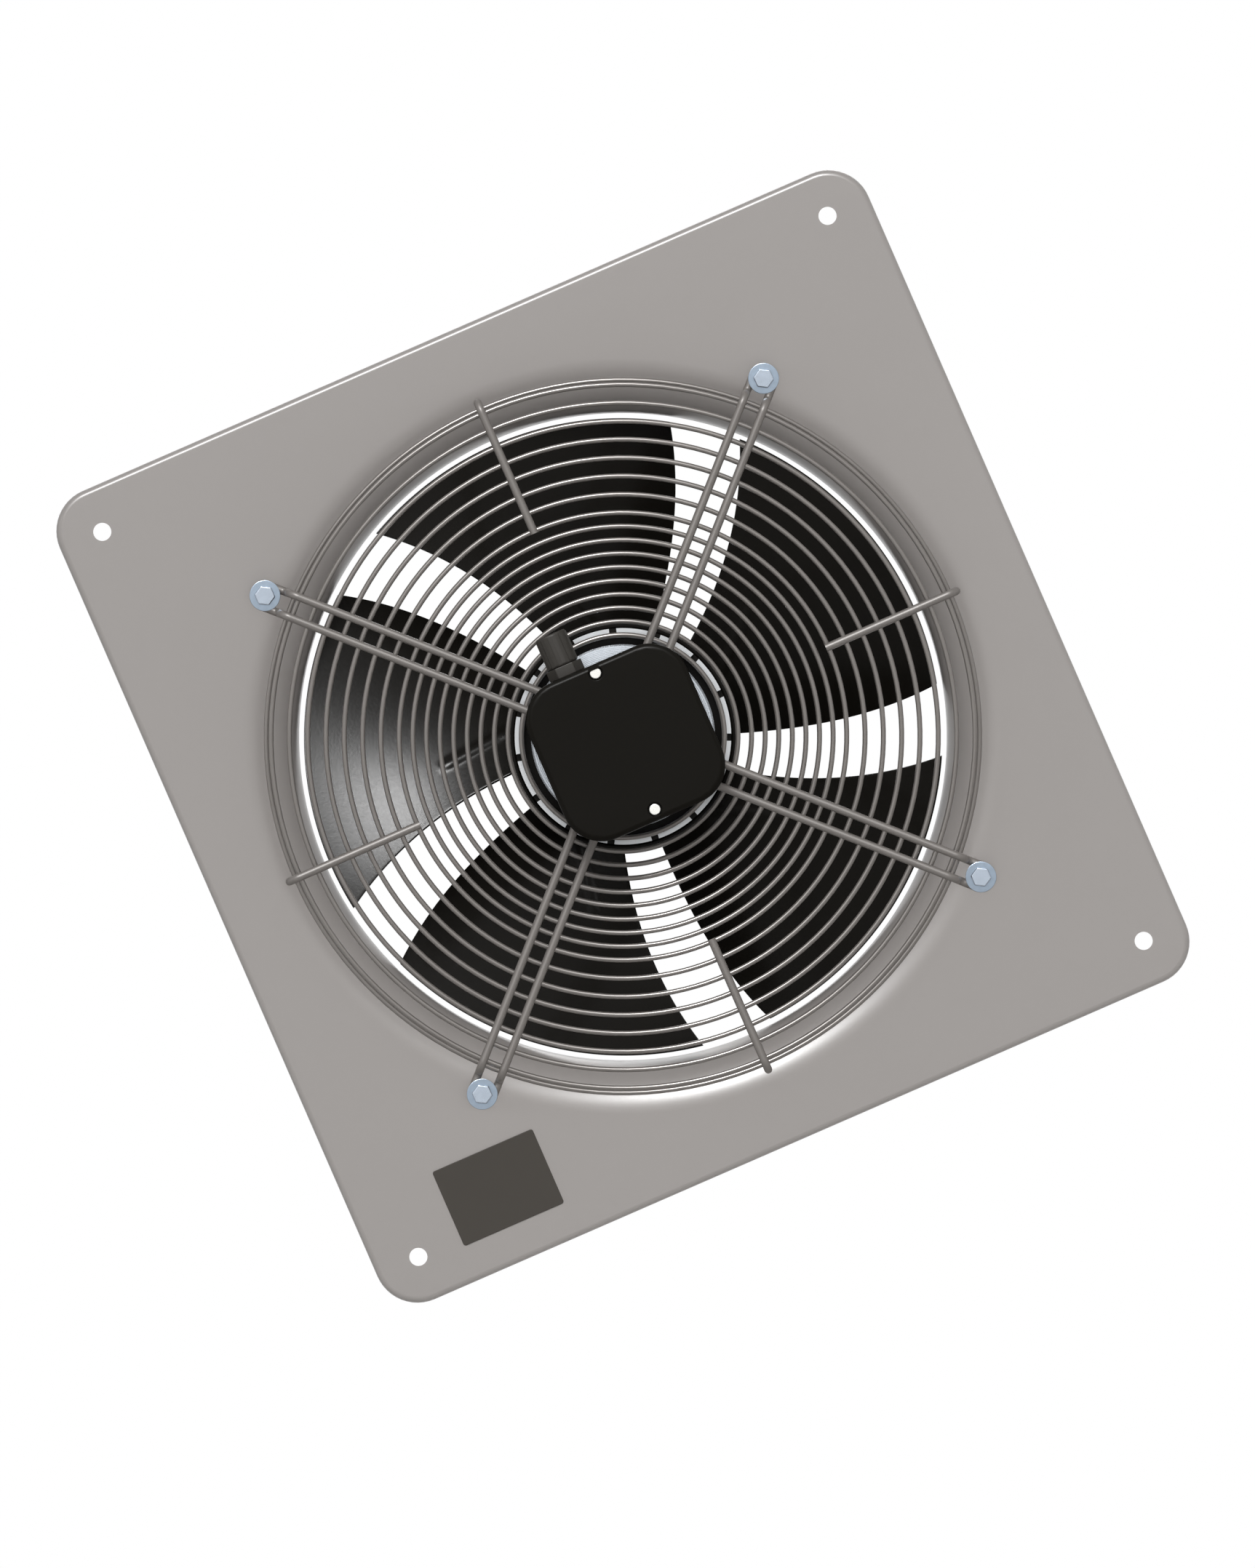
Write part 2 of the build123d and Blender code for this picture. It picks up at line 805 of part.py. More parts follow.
def blade_sheet_solid(sheet):
    """The swept sheet that a blade is cut from, from inside the hub to beyond the tip."""
    with BuildPart() as body:
        root = blade_section(
            root_section_radius,
            root_section_slope,
            root_section_height,
            root_section_lead,
            root_section_trail,
            root_section_camber,
            sheet,
        )
        tip = blade_section(
            tip_section_radius,
            tip_section_slope,
            tip_section_height,
            tip_section_lead,
            tip_section_trail,
            tip_section_camber,
            sheet,
        )
        loft([root, tip], ruled=True)
    return body.part


with BuildPart() as blade:
    add(blade_sheet_solid(blade_sheet))
    with BuildSketch(front_plane(-rotor_back_depth - tip_section_camber)):
        with BuildLine():
            edge_radii = (hub_radius, (hub_radius + tip_radius) / 2, tip_radius)
            lead_edge = ThreePointArc(
                *[polar_point(r, t) for r, t in zip(edge_radii, leading_edge_angles)]
            )
            tip_arc = RadiusArc(
                lead_edge @ 1, polar_point(tip_radius, trailing_edge_angles[-1]), tip_radius
            )
            trail_edge = ThreePointArc(
                *[
                    polar_point(r, t)
                    for r, t in zip(reversed(edge_radii), reversed(trailing_edge_angles))
                ]
            )
            RadiusArc(trail_edge @ 1, lead_edge @ 0, -hub_radius)
        make_face()
    extrude(amount=2 * rotor_back_depth, mode=Mode.INTERSECT)

with BuildPart() as blade_bead:
    add(blade_sheet_solid(bead_sheet))
    with BuildSketch(front_plane(-rotor_back_depth - tip_section_camber)):
        with Locations(polar_point(hub_radius + bead_length / 2, bead_angle)):
            SlotOverall(bead_length, bead_width, rotation=bead_angle)
        Circle(hub_radius, mode=Mode.SUBTRACT)
    extrude(amount=2 * rotor_back_depth, mode=Mode.INTERSECT)

with BuildPart() as beaded_blade:
    add(blade.part)
    add(blade_bead.part)

for number in range(blade_count):
    turn = -360 / blade_count * number
    save(beaded_blade.part.rotate(Axis.Y, turn), f"blade_{number + 1}")


# Terminal box: a base with a collar and screw pillars, a gasket and a lid
def box_outline(inset):
    """The terminal box's outline in the front view, moved in by an inset."""
    return RectangleRounded(
        box_width - 2 * inset, box_height - 2 * inset, box_corner_radius - inset
    )


with BuildPart() as box_base:
    with BuildSketch(front_plane(box_floor_height)):
        with Locations((0, box_middle)):
            box_outline(0)
    extrude(amount=box_base_depth)
    with BuildSketch(front_plane(box_floor_top)):
        with Locations((0, box_middle)):
            box_outline(box_wall)
        with Locations(*lid_screw_places):
            Circle(lid_pillar_diameter / 2, mode=Mode.SUBTRACT)
    extrude(amount=box_base_depth, mode=Mode.SUBTRACT)
    with BuildSketch(front_plane(guard_height)):
        Circle(collar_radius)
        Circle(collar_radius - collar_wall, mode=Mode.SUBTRACT)
        with Locations(*box_screw_places):
            Circle(pillar_diameter / 2)
        with Locations((0, earth_screw_radius)):
            Circle(pillar_diameter / 2)
    extrude(amount=box_floor_height - guard_height)
    with BuildSketch(front_plane(box_floor_top)):
        with Locations(*box_screw_places):
            Circle(box_screw_diameter / 2 + screw_clearance)
        with Locations((0, earth_screw_radius)):
            Circle(box_screw_diameter / 2 + screw_clearance)
        with Locations((0, -lead_hole_radius)):
            Circle(lead_hole_diameter / 2 + grommet_fit)
    extrude(amount=guard_height - box_floor_top, mode=Mode.SUBTRACT)
    with BuildSketch(front_plane(box_base_top)):
        with Locations(*lid_screw_places):
            Circle(lid_screw_diameter / 2 + screw_clearance)
    extrude(amount=-lid_screw_length, mode=Mode.SUBTRACT)
    with BuildSketch(Plane.XY.offset(box_top_edge)):
        with Locations((gland_x, -gland_height)):
            Circle(gland_thread_diameter / 2 + gland_fit)
    extrude(amount=-box_wall, mode=Mode.SUBTRACT)
save(box_base.part, "terminal_box_base")

with BuildPart() as box_gasket:
    with BuildSketch(front_plane(box_base_top)):
        with Locations((0, box_middle)):
            box_outline(gasket_inset)
            with BuildSketch(mode=Mode.PRIVATE) as gasket_hole:
                box_outline(gasket_inset + gasket_width)
            add(gasket_hole.sketch, mode=Mode.SUBTRACT)
    extrude(amount=gasket_thickness)
save(box_gasket.part, "lid_gasket")

with BuildPart() as box_lid:
    with BuildSketch(front_plane(lid_bottom)):
        with Locations((0, box_middle)):
            box_outline(0)
    extrude(amount=lid_depth)
    fillet(faces().sort_by(Axis.Y)[0].edges(), radius=lid_edge_radius)
    with BuildSketch(front_plane(lid_bottom)):
        with Locations((0, box_middle)):
            box_outline(box_wall)
        with Locations(*lid_screw_places):
            Circle(lid_pocket_diameter / 2 + lid_boss_wall, mode=Mode.SUBTRACT)
    extrude(amount=lid_depth - box_wall, mode=Mode.SUBTRACT)
    with BuildSketch(front_plane(lid_top)):
        with Locations(*lid_screw_places):
            Circle(lid_pocket_diameter / 2)
    extrude(amount=-lid_pocket_depth, mode=Mode.SUBTRACT)
    with BuildSketch(front_plane(lid_top)):
        with Locations(*lid_screw_places):
            Circle(lid_screw_diameter / 2 + screw_clearance)
    extrude(amount=-lid_depth, mode=Mode.SUBTRACT)
save(box_lid.part, "terminal_box_lid")

lid_screw = pan_screw(lid_screw_diameter, lid_screw_length, lid_screw_head, lid_screw_head_height)
box_screw = pan_screw(box_screw_diameter, box_screw_length, box_screw_head, box_screw_head_height)
save(placed(lid_screw, lid_pocket_floor, lid_screw_places), "lid_screws")
save(placed(box_screw, box_floor_top, box_screw_places), "box_screws")

with BuildPart() as earth_washer:
    with BuildSketch(front_plane(box_floor_top)):
        with Locations((0, earth_screw_radius)):
            Circle(earth_washer_diameter / 2)
            Circle(box_screw_diameter / 2 + screw_clearance, mode=Mode.SUBTRACT)
    extrude(amount=earth_washer_thickness)
save(earth_washer.part, "earth_washer")
save(
    placed(box_screw, box_floor_top + earth_washer_thickness, [(0, earth_screw_radius)]),
    "earth_screw",
)

with BuildPart() as lead_grommet:
    with BuildSketch(front_plane(box_floor_top)):
        with Locations((0, -lead_hole_radius)):
            Circle(grommet_head_diameter / 2)
    extrude(amount=grommet_head_height)
    with BuildSketch(front_plane(box_floor_top)):
        with Locations((0, -lead_hole_radius)):
            Circle(lead_hole_diameter / 2)
    extrude(amount=flange_back - box_floor_top)
    with BuildSketch(front_plane(flange_back)):
        with Locations((0, -lead_hole_radius)):
            Circle(grommet_bore / 2)
    extrude(amount=lid_top, mode=Mode.SUBTRACT)
save(lead_grommet.part, "lead_grommet")


# Terminal block with its clamping screws
terminal_places = [
    (terminal_block_x, terminal_block_y + terminal_pitch * (i - (terminal_count - 1) / 2))
    for i in range(terminal_count)
]
with BuildPart() as terminal_block:
    with BuildSketch(front_plane(box_floor_top)):
        with Locations((terminal_block_x, terminal_block_y)):
            Rectangle(terminal_block_width, terminal_block_length)
    extrude(amount=terminal_block_height)
    with BuildSketch(front_plane(box_floor_top + terminal_block_height)):
        with Locations(*terminal_places):
            Rectangle(terminal_block_width - 2 * terminal_rib, terminal_pitch - terminal_rib)
    extrude(amount=-terminal_well_depth, mode=Mode.SUBTRACT)
save(terminal_block.part, "terminal_block")

with BuildPart() as terminal_screw:
    with BuildSketch():
        Circle(terminal_screw_diameter / 2)
    extrude(amount=terminal_screw_height)
well_floor = box_floor_top + terminal_block_height - terminal_well_depth
save(placed(terminal_screw.part, well_floor, terminal_places), "terminal_screws")


# Run capacitor in its clip
capacitor_height = box_floor_top + clip_wall + capacitor_diameter / 2
capacitor_plane = Plane(
    origin=(capacitor_x, -capacitor_height, capacitor_y), x_dir=(1, 0, 0), z_dir=(0, 0, 1)
)
with BuildPart() as run_capacitor:
    with BuildSketch(capacitor_plane):
        Circle(capacitor_diameter / 2)
    extrude(amount=capacitor_length / 2, both=True)
    fillet(edges().filter_by(GeomType.CIRCLE), radius=capacitor_edge_radius)
save(run_capacitor.part, "run_capacitor")

with BuildPart() as capacitor_clip:
    with BuildSketch(capacitor_plane):
        Circle(capacitor_diameter / 2 + clip_wall)
        Circle(capacitor_diameter / 2, mode=Mode.SUBTRACT)
        Rectangle(
            capacitor_diameter + 2 * clip_wall,
            capacitor_diameter,
            align=(Align.CENTER, Align.MAX),
            mode=Mode.SUBTRACT,
        )
    extrude(amount=clip_width / 2, both=True)
save(capacitor_clip.part, "capacitor_clip")


# Cable gland in the upper wall of the box: body, seal, cap and locknut
gland_plane = Plane(
    origin=(gland_x, -gland_height, box_top_edge), x_dir=(1, 0, 0), z_dir=(0, 0, 1)
)
gland_neck_end = gland_hex_length + gland_neck_length
gland_end = gland_hex_length + gland_cap_length


def gland_disc(diameter, low, high):
    """A round length of the gland between two distances from the box's wall."""
    with BuildPart() as disc:
        with BuildSketch(gland_plane.offset(low)):
            Circle(diameter / 2)
        extrude(amount=high - low)
    return disc.part


with BuildPart() as gland_body:
    add(gland_disc(gland_thread_diameter, -gland_thread_length, 0))
    with BuildSketch(gland_plane):
        RegularPolygon(gland_hex_width / 2, 6, major_radius=False, rotation=30)
    extrude(amount=gland_hex_length)
    add(gland_disc(gland_neck_diameter, gland_hex_length, gland_neck_end))
    add(gland_disc(gland_bore, -gland_thread_length, gland_neck_end), mode=Mode.SUBTRACT)
save(gland_body.part, "gland_body")

with BuildPart() as gland_cap:
    add(gland_disc(gland_cap_diameter, gland_hex_length, gland_end))
    chamfer(faces().sort_by(Axis.Z)[-1].edges(), length=gland_cap_chamfer)
    cap_bore = gland_neck_diameter + 2 * gland_fit
    add(gland_disc(cap_bore, gland_hex_length, gland_end - gland_cap_lip), mode=Mode.SUBTRACT)
    add(gland_disc(gland_cap_mouth, gland_hex_length, gland_end), mode=Mode.SUBTRACT)
save(gland_cap.part, "gland_cap")

with BuildPart() as gland_seal:
    add(gland_disc(gland_neck_diameter, gland_neck_end, gland_end - gland_cap_lip))
    add(gland_disc(gland_seal_bore, gland_neck_end, gland_end), mode=Mode.SUBTRACT)
save(gland_seal.part, "gland_seal")

with BuildPart() as gland_locknut:
    with BuildSketch(gland_plane.offset(-box_wall)):
        RegularPolygon(locknut_width / 2, 6, major_radius=False)
    extrude(amount=-locknut_thickness)
    locknut_bore = gland_thread_diameter + 2 * gland_fit
    add(
        gland_disc(locknut_bore, -box_wall - locknut_thickness, -box_wall), mode=Mode.SUBTRACT
    )
save(gland_locknut.part, "gland_locknut")


# Rating plate, a blank label riveted by its adhesive to the lower left of the plate
with BuildPart() as rating_plate:
    with BuildSketch(FRONT):
        with Locations((rating_plate_x, rating_plate_y)):
            RectangleRounded(rating_plate_width, rating_plate_height, rating_plate_corner)
    extrude(amount=rating_plate_thickness)
save(rating_plate.part, "rating_plate")
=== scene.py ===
"""The looks of a size 350 wall-plate axial fan, built round its CAD frame.

Lengths are metres. The fan's axis is the Y axis, the guard and the terminal box face -Y, and +Z
is up the wall. A height is a distance in front of the plate's front face, so it counts towards -Y.
"""

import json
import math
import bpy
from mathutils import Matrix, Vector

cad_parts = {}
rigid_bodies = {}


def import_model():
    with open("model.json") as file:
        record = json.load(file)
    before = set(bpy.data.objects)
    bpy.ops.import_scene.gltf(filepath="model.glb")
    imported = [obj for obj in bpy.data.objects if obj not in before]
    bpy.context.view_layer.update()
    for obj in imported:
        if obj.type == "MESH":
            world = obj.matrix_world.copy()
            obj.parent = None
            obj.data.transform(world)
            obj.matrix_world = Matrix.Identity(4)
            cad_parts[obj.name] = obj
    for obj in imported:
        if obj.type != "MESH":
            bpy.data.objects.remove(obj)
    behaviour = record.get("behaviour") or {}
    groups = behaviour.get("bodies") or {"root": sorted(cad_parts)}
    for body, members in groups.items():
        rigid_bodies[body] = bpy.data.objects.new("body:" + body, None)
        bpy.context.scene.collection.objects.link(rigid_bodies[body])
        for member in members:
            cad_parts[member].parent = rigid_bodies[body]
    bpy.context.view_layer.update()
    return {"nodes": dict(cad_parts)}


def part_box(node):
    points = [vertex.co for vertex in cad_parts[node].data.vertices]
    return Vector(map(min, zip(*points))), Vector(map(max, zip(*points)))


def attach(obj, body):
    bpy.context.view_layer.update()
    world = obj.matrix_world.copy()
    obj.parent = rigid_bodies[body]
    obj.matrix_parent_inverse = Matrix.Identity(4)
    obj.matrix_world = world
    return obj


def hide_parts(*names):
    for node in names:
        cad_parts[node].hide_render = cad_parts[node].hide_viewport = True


bl_info = {
    "name": "Wall-plate axial fan",
    "version": (1, 0, 0),
    "blender": (4, 5, 0),
    "location": "View3D > Sidebar > Axial fan",
    "description": "Builds an axial fan with a wire guard, swept blades and a terminal box",
    "category": "Object",
}

import bmesh
import bpy
from mathutils import Matrix, Vector

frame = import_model()

MM = 0.001
AXIS = Vector((0, 1, 0))
FULL_TURN = 2 * math.pi
QUARTER = math.pi / 2
# Points that are closer than this are one point, in metres
WELD = 1e-6
# A face counts as square to a direction where its normal reaches this far along it
SQUARE_ON = 0.99
# The widest angle between two faces that are still shaded smooth
SMOOTH_LIMIT = math.radians(35)

# Steps of the meshes: round the fan, round a hole or a wire, and along bends and edges
NOZZLE_STEPS = 160
HUB_STEPS = 120
RING_STEPS = 144
COLLAR_STEPS = 96
HOLE_STEPS = 32
POCKET_STEPS = 40
HEAD_SIDES = 40
HEXAGON_SIDES = 6
ROD_SIDES = 32
TUBE_SIDES = 48
RING_WIRE_SIDES = 16
BAR_SIDES = 12
BEND_STEPS = 6
LOOP_STEPS = 14
BELL_STEPS = 14
PLATE_CORNER_STEPS = 12
BOX_CORNER_STEPS = 10
LABEL_CORNER_STEPS = 8
BLADE_STEPS = (84, 60)
EDGE_TURNS = [QUARTER * i / 6 for i in range(7)]
LABEL_EDGE_TURNS = [QUARTER * i / 3 for i in range(4)]
BASE_EDGE_TURNS = [0, 0.4, 0.8, 1.2, QUARTER]

# The guard has four arms, and a strut between each two
ARMS = 4
# A blade's edges: their angles at the hub, halfway out and at the tip, in degrees
LEADING_EDGE = (103.6, 109.7, 117.1)
TRAILING_EDGE = (51.1, 53.4, 58.2)
# A blade's bead fades over the last eighth of its length
BEAD_FADE = 8
# A lid pocket from its rounded mouth to its floor: radius and depth, in millimetres
POCKET_RUNGS = ((4.4, 0.0), (4.12, 0.12), (4.0, 0.4), (4.0, 2.49))
# Faces of the gland's cap that are smaller than this, in square metres, belong to its round ends
SMALLEST_SIDE = 5e-6

# The CAD nodes that keep their shape: their body, slot and finish
DRESSED = (
    ("fan_frame", "cast_aluminium", "turned_aluminium", ("motor_flange",)),
    ("impeller", "black_casting", "semi_gloss_black_coat", ("rotor_cage",)),
    (
        "fan_frame",
        "zinc_steel",
        "blue_passivated_zinc",
        ("guard_nuts", "box_screws", "capacitor_clip"),
    ),
    ("fan_frame", "bearing_steel", "ground_bearing_steel", ("front_outer_race", "rear_outer_race")),
    ("impeller", "bearing_steel", "ground_bearing_steel", ("front_inner_race", "rear_inner_race")),
    ("bearing_cages", "bearing_steel", "ground_bearing_steel", ("front_balls", "rear_balls")),
    ("bearing_cages", "cage_plastic", "natural_polyamide", ("front_ball_cage", "rear_ball_cage")),
    ("fan_frame", "machined_steel", "turned_steel", ("bearing_spacer", "bearing_preload_washer")),
    ("impeller", "machined_steel", "turned_steel", ("shaft", "shaft_circlip")),
    ("fan_frame", "lamination_steel", "stacked_electrical_sheet", ("stator_core",)),
    ("impeller", "lamination_steel", "stacked_electrical_sheet", ("rotor_core",)),
    (
        "fan_frame",
        "white_plastic",
        "white_moulded_pbt",
        ("front_insulator", "rear_insulator", "terminal_block"),
    ),
    ("fan_frame", "winding_copper", "varnished_copper_winding", ("stator_winding",)),
    (
        "fan_frame",
        "terminal_brass",
        "turned_brass",
        ("terminal_screws", "earth_washer", "earth_screw"),
    ),
    ("fan_frame", "capacitor_plastic", "smooth_polypropylene_can", ("run_capacitor",)),
    ("fan_frame", "black_rubber", "black_rubber", ("gland_seal", "lead_grommet")),
    ("fan_frame", "gland_plastic", "moulded_polyamide", ("gland_locknut",)),
)

# The lights: the setting that holds the power, how far rightwards, forwards and upwards of the
# fan they stand, and the side of their square, in metres
LIGHTS = (
    ("key_light", "key", (-0.8, 8.2, 5.6), 6.5),
    ("glint_light", "glint", (-2.1, 9.8, 6.9), 3.0),
    ("left_light", "side", (-5.0, 1.6, 0.8), 1.4),
    ("right_light", "side", (5.0, 1.6, 0.4), 1.4),
    ("rear_light", "rear", (0.4, -4.4, 3.2), 3.2),
)


def linear(hex_colour):
    """The linear colour of an sRGB hex value such as #a39f9b."""
    channels = [int(hex_colour[i : i + 2], 16) / 255 for i in (1, 3, 5)]
    return tuple(c / 12.92 if c <= 0.04045 else ((c + 0.055) / 1.055) ** 2.4 for c in channels)


def length(name, description, default):
    """A size that a user may change, in metres."""
    return bpy.props.FloatProperty(
        name=name, description=description, default=default, min=0.0, unit="LENGTH", precision=4
    )


def count(name, description, default):
    """A number of like pieces."""
    return bpy.props.IntProperty(name=name, description=description, default=default, min=1)


def colour(name, description, hex_colour):
    """A colour that a user may change, given as an sRGB hex value."""
    return bpy.props.FloatVectorProperty(
        name=name,
        description=description,
        subtype="COLOR",
        size=3,
        min=0.0,
        max=1.0,
        default=linear(hex_colour),
    )


def angle(name, description, degrees):
    """An angle that a user may change."""
    return bpy.props.FloatProperty(
        name=name, description=description, default=math.radians(degrees), subtype="ANGLE"
    )


def offset(name, description, default):
    """A place or a height that may lie on either side of zero, in metres."""
    return bpy.props.FloatProperty(
        name=name, description=description, default=default, unit="LENGTH", precision=4
    )


def ratio(name, description, default):
    """A plain number."""
    return bpy.props.FloatProperty(name=name, description=description, default=default)


def power(name, description, watts):
    """The power of a light."""
    return bpy.props.FloatProperty(
        name=name, description=description, default=watts, min=0.0, subtype="POWER"
    )


def node_radius(node):
    """Half of a CAD node's width across the fan."""
    low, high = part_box(node)
    return (high.x - low.x) / 2


def node_middle(node):
    """The middle of a CAD node's box."""
    low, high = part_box(node)
    return (low + high) / 2


def node_outline(node):
    """The width and height of a CAD node in the front view, and its middle."""
    low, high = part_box(node)
    return (high.x - low.x, high.z - low.z), ((high.x + low.x) / 2, (high.z + low.z) / 2)


def front_of(node):
    """How far a CAD node reaches in front of the plate."""
    return -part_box(node)[0].y


def back_of(node):
    """The height of a CAD node's rear end, below zero behind the plate."""
    return -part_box(node)[1].y


class FanPlateSizes(bpy.types.PropertyGroup):
    """Sizes of the wall plate and its nozzle."""

    side: length("Side", "Side of the square plate", 2 * node_radius("wall_plate"))
    corner: length("Corner radius", "Radius of the plate's corners", 0.024)
    fold: length("Fold depth", "How far the edge is folded back", 0.012)
    bend: length("Bend radius", "Outer radius of the folded edge", 0.0035)
    sheet: length("Sheet", "Thickness of the sheet", 0.0015)
    pitch: length("Hole pitch", "Distance between the wall-screw holes", 0.435)
    hole: length("Hole radius", "Radius of the wall-screw holes", 0.005)
    throat: length("Throat radius", "Radius of the nozzle's bore", 0.179)
    bell: length("Bell radius", "Radius of the bell mouth's roll", 0.029)
    depth: length("Nozzle depth", "Depth of the nozzle behind the plate", -back_of("wall_plate"))
    label_corner: length("Label corner", "Radius of the label's corners", 0.0015)
    label_edge: length("Label edge", "Rounding of the label's edge", 0.0003)


class FanGuardSizes(bpy.types.PropertyGroup):
    """Sizes of the wire guard."""

    ring_wire: length("Ring wire", "Diameter of the guard rings' wire", 0.0028)
    arm_wire: length("Arm wire", "Diameter of the arms' wire", 0.0045)
    inner_ring: length("Inner ring", "Radius of the smallest ring", 0.0557)
    fine_pitch: length("Fine pitch", "Pitch of the inner rings", 0.00746)
    fine_rings: count("Fine rings", "Number of rings at the fine pitch", 10)
    coarse_rings: count("Coarse rings", "Number of rings at the coarse pitch", 7)
    outer_inset: length("Outer inset", "How far the last ring lies inside the base ring", 0.0028)
    height: length("Guard height", "Height of the rings' front side", front_of("guard_rings"))
    base_ring: length("Base ring", "Radius of the ring near the plate", 0.196)
    base_height: length("Base ring height", "Height of the ring near the plate", 0.006)
    leg_spacing: length("Leg spacing", "Distance between an arm's two wires", 0.0122)
    shoulder: length("Shoulder", "Bend radius at the top of a leg", 0.006)
    foot: length("Foot", "Bend radius at the foot of a leg", 0.0045)
    strut_foot: length("Strut foot", "Height at which a short strut ends", 0.003)
    motor_screws: length("Motor screws", "Radius of the motor-screw circle", 0.042)
    plate_screws: length("Plate screws", "Radius of the guard-screw circle", 0.2114)


class FanBladeSizes(bpy.types.PropertyGroup):
    """Sizes of the blades, each a sheet ruled between a root and a tip section."""

    blades: count("Blades", "Number of blades", 5)
    sheet: length("Sheet", "Thickness of a blade", 0.002)
    hub: length("Hub radius", "Radius at which the blades start", node_radius("impeller_hub"))
    tip: length("Tip radius", "Radius of the blades' tips", 0.1758)
    axis: angle("Blade axis", "Direction square to which the sections lie", 84.0)
    root_radius: length("Root section", "Distance of the root section", 0.045)
    root_height: offset("Root height", "Height of the root section on the blade axis", -0.033)
    root_slope: ratio("Root slope", "Rise of the root section over its length", 0.9)
    root_lead: length("Root lead", "Length of the root section ahead of the axis", 0.035)
    root_trail: length("Root trail", "Length of the root section behind the axis", 0.045)
    root_camber: length("Root camber", "Rise of the root section's middle", 0.004)
    tip_radius: length("Tip section", "Distance of the tip section", 0.180)
    tip_height: offset("Tip height", "Height of the tip section on the blade axis", -0.038)
    tip_slope: ratio("Tip slope", "Rise of the tip section over its length", 0.27)
    tip_lead: length("Tip lead", "Length of the tip section ahead of the axis", 0.125)
    tip_trail: length("Tip trail", "Length of the tip section behind the axis", 0.110)
    tip_camber: length("Tip camber", "Rise of the tip section's middle", 0.009)
    bead: angle("Bead angle", "Where the pressed bead leaves the hub", 83.0)
    bead_lean: angle("Bead lean", "How far the bead turns away from the radius", 30.0)
    bead_length: length("Bead length", "Length of the pressed bead", 0.042)
    bead_rise: length("Bead rise", "Height of the pressed bead", 0.0011)
    bead_width: length("Bead width", "Width of the pressed bead", 0.0045)
    edge: length("Sheet edge", "Rounding of the blades' edges", 0.0004)
    hub_edge: length("Hub edge", "Rounding of the hub ring's edges", 0.0012)


class FanFastenerSizes(bpy.types.PropertyGroup):
    """Sizes of the M6 screws and washers."""

    hole: length("Hole radius", "Radius of the guard-screw holes in the plate", 0.0032)
    washer_hole: length("Washer hole", "Radius of a washer's hole", 0.0031)
    washer: length("Washer radius", "Outer radius of a washer", 0.0085)
    washer_edge: length("Washer edge", "Rounding of a washer's edges", 0.00025)
    head: length("Head width", "Width of a screw's head across its flats", 0.010)
    head_edge: length("Head edge", "Rounding of a screw's head", 0.0007)
    shank: length("Shank radius", "Radius of a screw's thread", 0.003)


class FanBoxSizes(bpy.types.PropertyGroup):
    """Sizes of the terminal box. Its outline and its heights come from the CAD model."""

    wall: length("Wall", "Wall thickness of the base and the lid", 0.0025)
    corner: length("Corner radius", "Radius of the box's upright corners", 0.022)
    floor: length("Floor height", "Height of the base's underside", 0.035)
    base_edge: length("Base edge", "Radius of the base's lower edge", 0.002)
    lid_edge: length("Lid edge", "Radius of the lid's upper edge", 0.003)
    lid_lip: length("Lid lip", "Chamfer of the lid's lower edge", 0.0003)
    collar: length("Collar radius", "Outer radius of the collar under the box", 0.033)
    collar_wall: length("Collar wall", "Wall thickness of the collar", 0.003)
    pillar: length("Pillar radius", "Radius of the pillars for the lid screws", 0.003)
    pillar_hole: length("Pillar hole", "Radius of a pillar's hole", 0.00185)
    gasket_outside: length("Gasket outside", "Inset of the gasket's outer edge", 0.0005)
    gasket_inside: length("Gasket inside", "Inset of the gasket's inner edge", 0.002)
    screw_pitch: length("Lid-screw pitch", "Distance between the lid screws", 0.0814)
    screw: length("Lid screw", "Radius of a lid screw's thread", 0.00175)
    head: length("Lid-screw head", "Radius of a lid screw's head", 0.00325)
    head_height: length("Head height", "Height of a lid screw's head", 0.002)
    head_edge: length("Head edge", "Rounding of a lid screw's head", 0.0007)


class FanGlandSizes(bpy.types.PropertyGroup):
    """Sizes of the cable gland. Its place and its ends come from the CAD model."""

    bore: length("Bore", "Radius of the hole through the body", 0.005)
    thread: length("Thread", "Radius of the thread in the box's wall", 0.008)
    hexagon: length("Hexagon", "Width of the body's hexagon across its flats", 0.018)
    body_edge: length("Body edge", "Rounding of the hexagon's edges", 0.0005)
    cap_bore: length("Cap bore", "Radius of the cap's mouth", 0.0055)
    cap: length("Cap radius", "Radius of the cap between its ribs", 0.0087)
    cap_edge: length("Cap edge", "Rounding of the cap's ends", 0.0012)
    rib: length("Rib height", "How far a rib stands out of the cap", 0.0003)
    ribs: count("Ribs", "Number of ribs round the cap", 12)


class FanColours(bpy.types.PropertyGroup):
    """Colours of the finishes."""

    powder_coat: colour("Powder coat", "Grey coat of the wall plate", "#a7a29f")
    wire_coat: colour("Wire coat", "Dark grey coat of the guard's wires", "#7b7672")
    zinc: colour("Zinc", "Blue-passivated zinc of the screws", "#adb7c3")
    washers: colour("Washers", "Duller zinc of the washers", "#8894a1")
    aluminium: colour("Aluminium", "Turned and cast aluminium", "#cad0d7")
    black_paint: colour("Black paint", "Coat of the blades, their hub and the rotor", "#171512")
    abs_black: colour("Black ABS", "Moulded terminal box", "#13110d")
    polyamide: colour("Polyamide", "Moulded cable gland", "#3d3a36")
    label: colour("Label film", "Dark film of the blank label", "#4e4a45")


